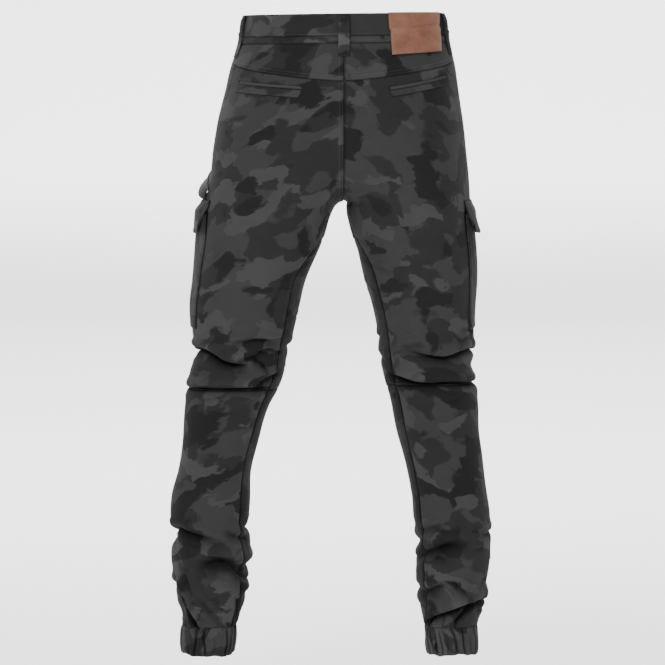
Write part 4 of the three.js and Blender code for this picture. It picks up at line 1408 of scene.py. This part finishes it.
def addButton():
    level = np.array([float(button["level"])])
    angle = waistPlace(np.array([button["share"]]), level)[1]
    at = surface(left, angle, level, button["standsOff"] + cut["cloth"])[0]
    normal = baseNormal(left, angle, level)[0]
    bpy.ops.object.select_all(action="DESELECT")
    bpy.ops.mesh.primitive_cylinder_add(
        vertices=button["sides"], radius=button["radius"] * mm, depth=button["rimHeight"] * mm)
    piece = bpy.context.object
    piece.name = "shank_button"
    bpy.ops.object.mode_set(mode="EDIT")
    bpy.ops.mesh.select_all(action="DESELECT")
    bpy.ops.object.mode_set(mode="OBJECT")
    for face in piece.data.polygons:
        face.select = face.normal.z > 0.9
    bpy.ops.object.mode_set(mode="EDIT")
    bpy.ops.mesh.select_mode(type="FACE")
    for width, height in button["insets"]:
        bpy.ops.mesh.inset(thickness=width * mm, depth=height * mm)
    bpy.ops.object.mode_set(mode="OBJECT")
    bevel = piece.modifiers.new("rim", "BEVEL")
    bevel.width = button["bevel"] * mm
    bevel.segments = 2
    bevel.limit_method = "ANGLE"
    bpy.ops.object.modifier_apply(modifier="rim")
    bpy.ops.object.shade_smooth_by_angle(angle=math.radians(35))
    middle = at + normal * (button["rimHeight"] / 2 + 0.2)
    tilt = math.atan2(math.hypot(normal[0], normal[1]), normal[2])
    piece.rotation_euler = (tilt, 0, math.atan2(normal[0], -normal[1]))
    piece.location = middle * mm
    bpy.ops.object.transform_apply(location=True, rotation=True, scale=True)
    piece.data.materials.append(plainMaterial("dark_nickel", (0.09, 0.09, 0.1, 1), 0.34, 1.0))
    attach(piece, "root")
    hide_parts("button")


addButton()
print("fly, belt loops, leather patch and button are on")

# Sewing: each stitch is a small lozenge on the cloth
stitch = {"pitch": 3.4, "length": 2.5, "radius": 0.34, "clear": 2.5, "colour": (0.075, 0.075, 0.078, 1)}
sewnLines = []
turnGrid = {
    "first": lambda grid: grid, "last": lambda grid: grid[:, ::-1],
    "top": lambda grid: grid.transpose(1, 0, 2), "foot": lambda grid: grid[::-1].transpose(1, 0, 2),
}


def unit(vectors):
    return vectors / np.linalg.norm(vectors, axis=1, keepdims=True)


def along(places, run, points):
    return np.stack([np.interp(places, run, points[:, k]) for k in range(3)], 1)


def sewnLine(grid, side, distance):
    # a line on a grid at a distance from one of its sides, with the outward direction along it
    outer, inner = (turnGrid[side](face) for face in grid)
    points, away = [], []
    for row, deep, reached in zip(outer, inner, runAlong(outer, 1)):
        k = min(max(int(np.searchsorted(reached, distance)), 1), len(reached) - 1)
        share = (distance - reached[k - 1]) / max(reached[k] - reached[k - 1], 1e-6)
        points.append(row[k - 1] + (row[k] - row[k - 1]) * share)
        away.append(row[k] - deep[k])
    return np.array(points), unit(np.array(away))


def sew(name, sides, rows):
    for side in sides:
        for distance in rows:
            points, away = sewnLine(grids[name], side, distance)
            run = runAlong(points, 0)
            places = np.arange(stitch["clear"], run[-1] - stitch["clear"], stitch["pitch"])
            if len(places) > 1:
                at = along(places, run, points)
                sewnLines.append((at, unit(along(places + 0.5, run, points) - at), along(places, run, away)))


def addThread():
    at, ahead, out = (np.concatenate([line[k] for line in sewnLines]) for k in range(3))
    side = np.cross(out, ahead)
    radius, half = stitch["radius"], stitch["length"] / 2
    corners = [
        at - ahead * half - out * radius * 0.5, at + ahead * half - out * radius * 0.5,
        at + side * radius, at + out * radius * 1.1, at - side * radius, at - out * radius,
    ]
    vertices = np.stack(corners, 1).reshape(-1, 3) * mm
    lozenge = np.array([(0, 2, 3), (0, 3, 4), (0, 4, 5), (0, 5, 2), (1, 3, 2), (1, 4, 3), (1, 5, 4), (1, 2, 5)])
    faces = (lozenge[None] + 6 * np.arange(len(at))[:, None, None]).reshape(-1, 3)
    a, b, c = (vertices[lozenge[:, k]] for k in range(3))
    if np.einsum("ij,ij->i", a - vertices[:6].mean(0), np.cross(b - a, c - a)).sum() < 0:
        faces = faces[:, ::-1]
    piece = newObject("thread", vertices, faces, [plainMaterial("grey_thread", stitch["colour"], 0.8)])
    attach(piece, "root")
    print(len(at), "stitches are sewn")


# the sides of each piece that are sewn, and how far in the rows run
felledRows = legPanels["rows"]
seams = [
    ("yoke", ["foot"], felledRows), ("cargo_pocket", ["first", "last", "foot"], felledRows),
    ("cargo_flap", ["foot", "first", "last"], (2.2, 8)), ("cargo_flap", ["top"], (2.2,)),
    ("back_welt", ["foot", "top"], (1.8,)),
    ("back_thigh", ["first"], felledRows), ("back_calf", ["first"], felledRows),
    ("front_thigh", ["foot"], (2.4,)), ("back_thigh", ["foot"], (2.4,)),
    ("belt_loop_side", ["first", "last"], (2.4,)), ("belt_loop_front", ["first", "last"], (2.4,)),
]
for side in ("left", "right"):
    for name, sides, rows in seams:
        sew(name + "_" + side, sides, rows)
sew("back_thigh_left", ["last"], felledRows)
sew("yoke_left", ["last"], felledRows)
sew("belt_loop_back", ["first", "last"], (2.4,))
sew("waistband", ["top"], (3,))
sew("waistband", ["foot"], (2.5,))
sew("fly", ["last"], fly["rows"])
addThread()

# Zip: its teeth run along the top edge of the puffed welt and end in a metal stop behind it
zipRun = {
    "at": [(-46, -212), (-24, -226), (0, -241), (10, -247.5), (16, -253), (20, -258), (23, -263)],
    "off": 0.9, "offMore": 1.2, "pitch": 2, "tooth": (1.1, 4.4, 1.3), "stop": (2.4, 4.2, 1.8),
    "toothColour": (0.006, 0.006, 0.006, 1), "stopColour": (0.6, 0.6, 0.6, 1),
}


def zipFrames():
    angles, levels = np.array(zipRun["at"], float).T
    dense = np.linspace(angles[0], angles[-1], 400)
    share = (dense - zipWelt["from"]) / (zipWelt["to"] - zipWelt["from"])
    level, off = curve(angles, levels, dense), zipRun["off"] + zipRun["offMore"] * smooth(1, 0.9, share)
    run = runAlong(surface(left, np.radians(dense), level, off), 0)
    places = np.arange(0, run[-1], zipRun["pitch"])
    angle, z = np.radians(np.interp(places, run, dense)), np.interp(places, run, level)
    at = surface(left, angle, z, np.interp(places, run, off))
    return at, unit(np.gradient(at, axis=0)), baseNormal(left, angle, z)


def addBlocks(name, at, ahead, out, size, material):
    # a row of small blocks, each of them (along, across, high)
    side = np.cross(out, ahead)
    box = [(-1, -1, -1), (1, -1, -1), (1, 1, -1), (-1, 1, -1), (-1, -1, 1), (1, -1, 1), (1, 1, 1), (-1, 1, 1)]
    corner = np.array(box) / 2 * np.array(size) + (0, 0, size[2] / 2)
    vertices = at[:, None] + sum(corner[:, k, None] * way[:, None] for k, way in enumerate((ahead, side, out)))
    sides = np.array([(0, 3, 2, 1), (4, 5, 6, 7), (0, 1, 5, 4), (1, 2, 6, 5), (2, 3, 7, 6), (3, 0, 4, 7)])
    faces = (sides[None] + 8 * np.arange(len(at))[:, None, None]).reshape(-1, 4)
    piece = newObject(name, vertices.reshape(-1, 3) * mm, faces, [material])
    piece.data.polygons.foreach_set("use_smooth", np.zeros(len(faces), bool))
    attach(piece, "root")


at, ahead, out = zipFrames()
teeth = plainMaterial("dark_teeth", zipRun["toothColour"], 0.6)
metal = plainMaterial("bright_metal", zipRun["stopColour"], 0.3, 1.0)
addBlocks("zip_teeth", at[:-1], ahead[:-1], out[:-1], zipRun["tooth"], teeth)
addBlocks("zip_stop", at[-1:], ahead[-1:], out[-1:], zipRun["stop"], metal)
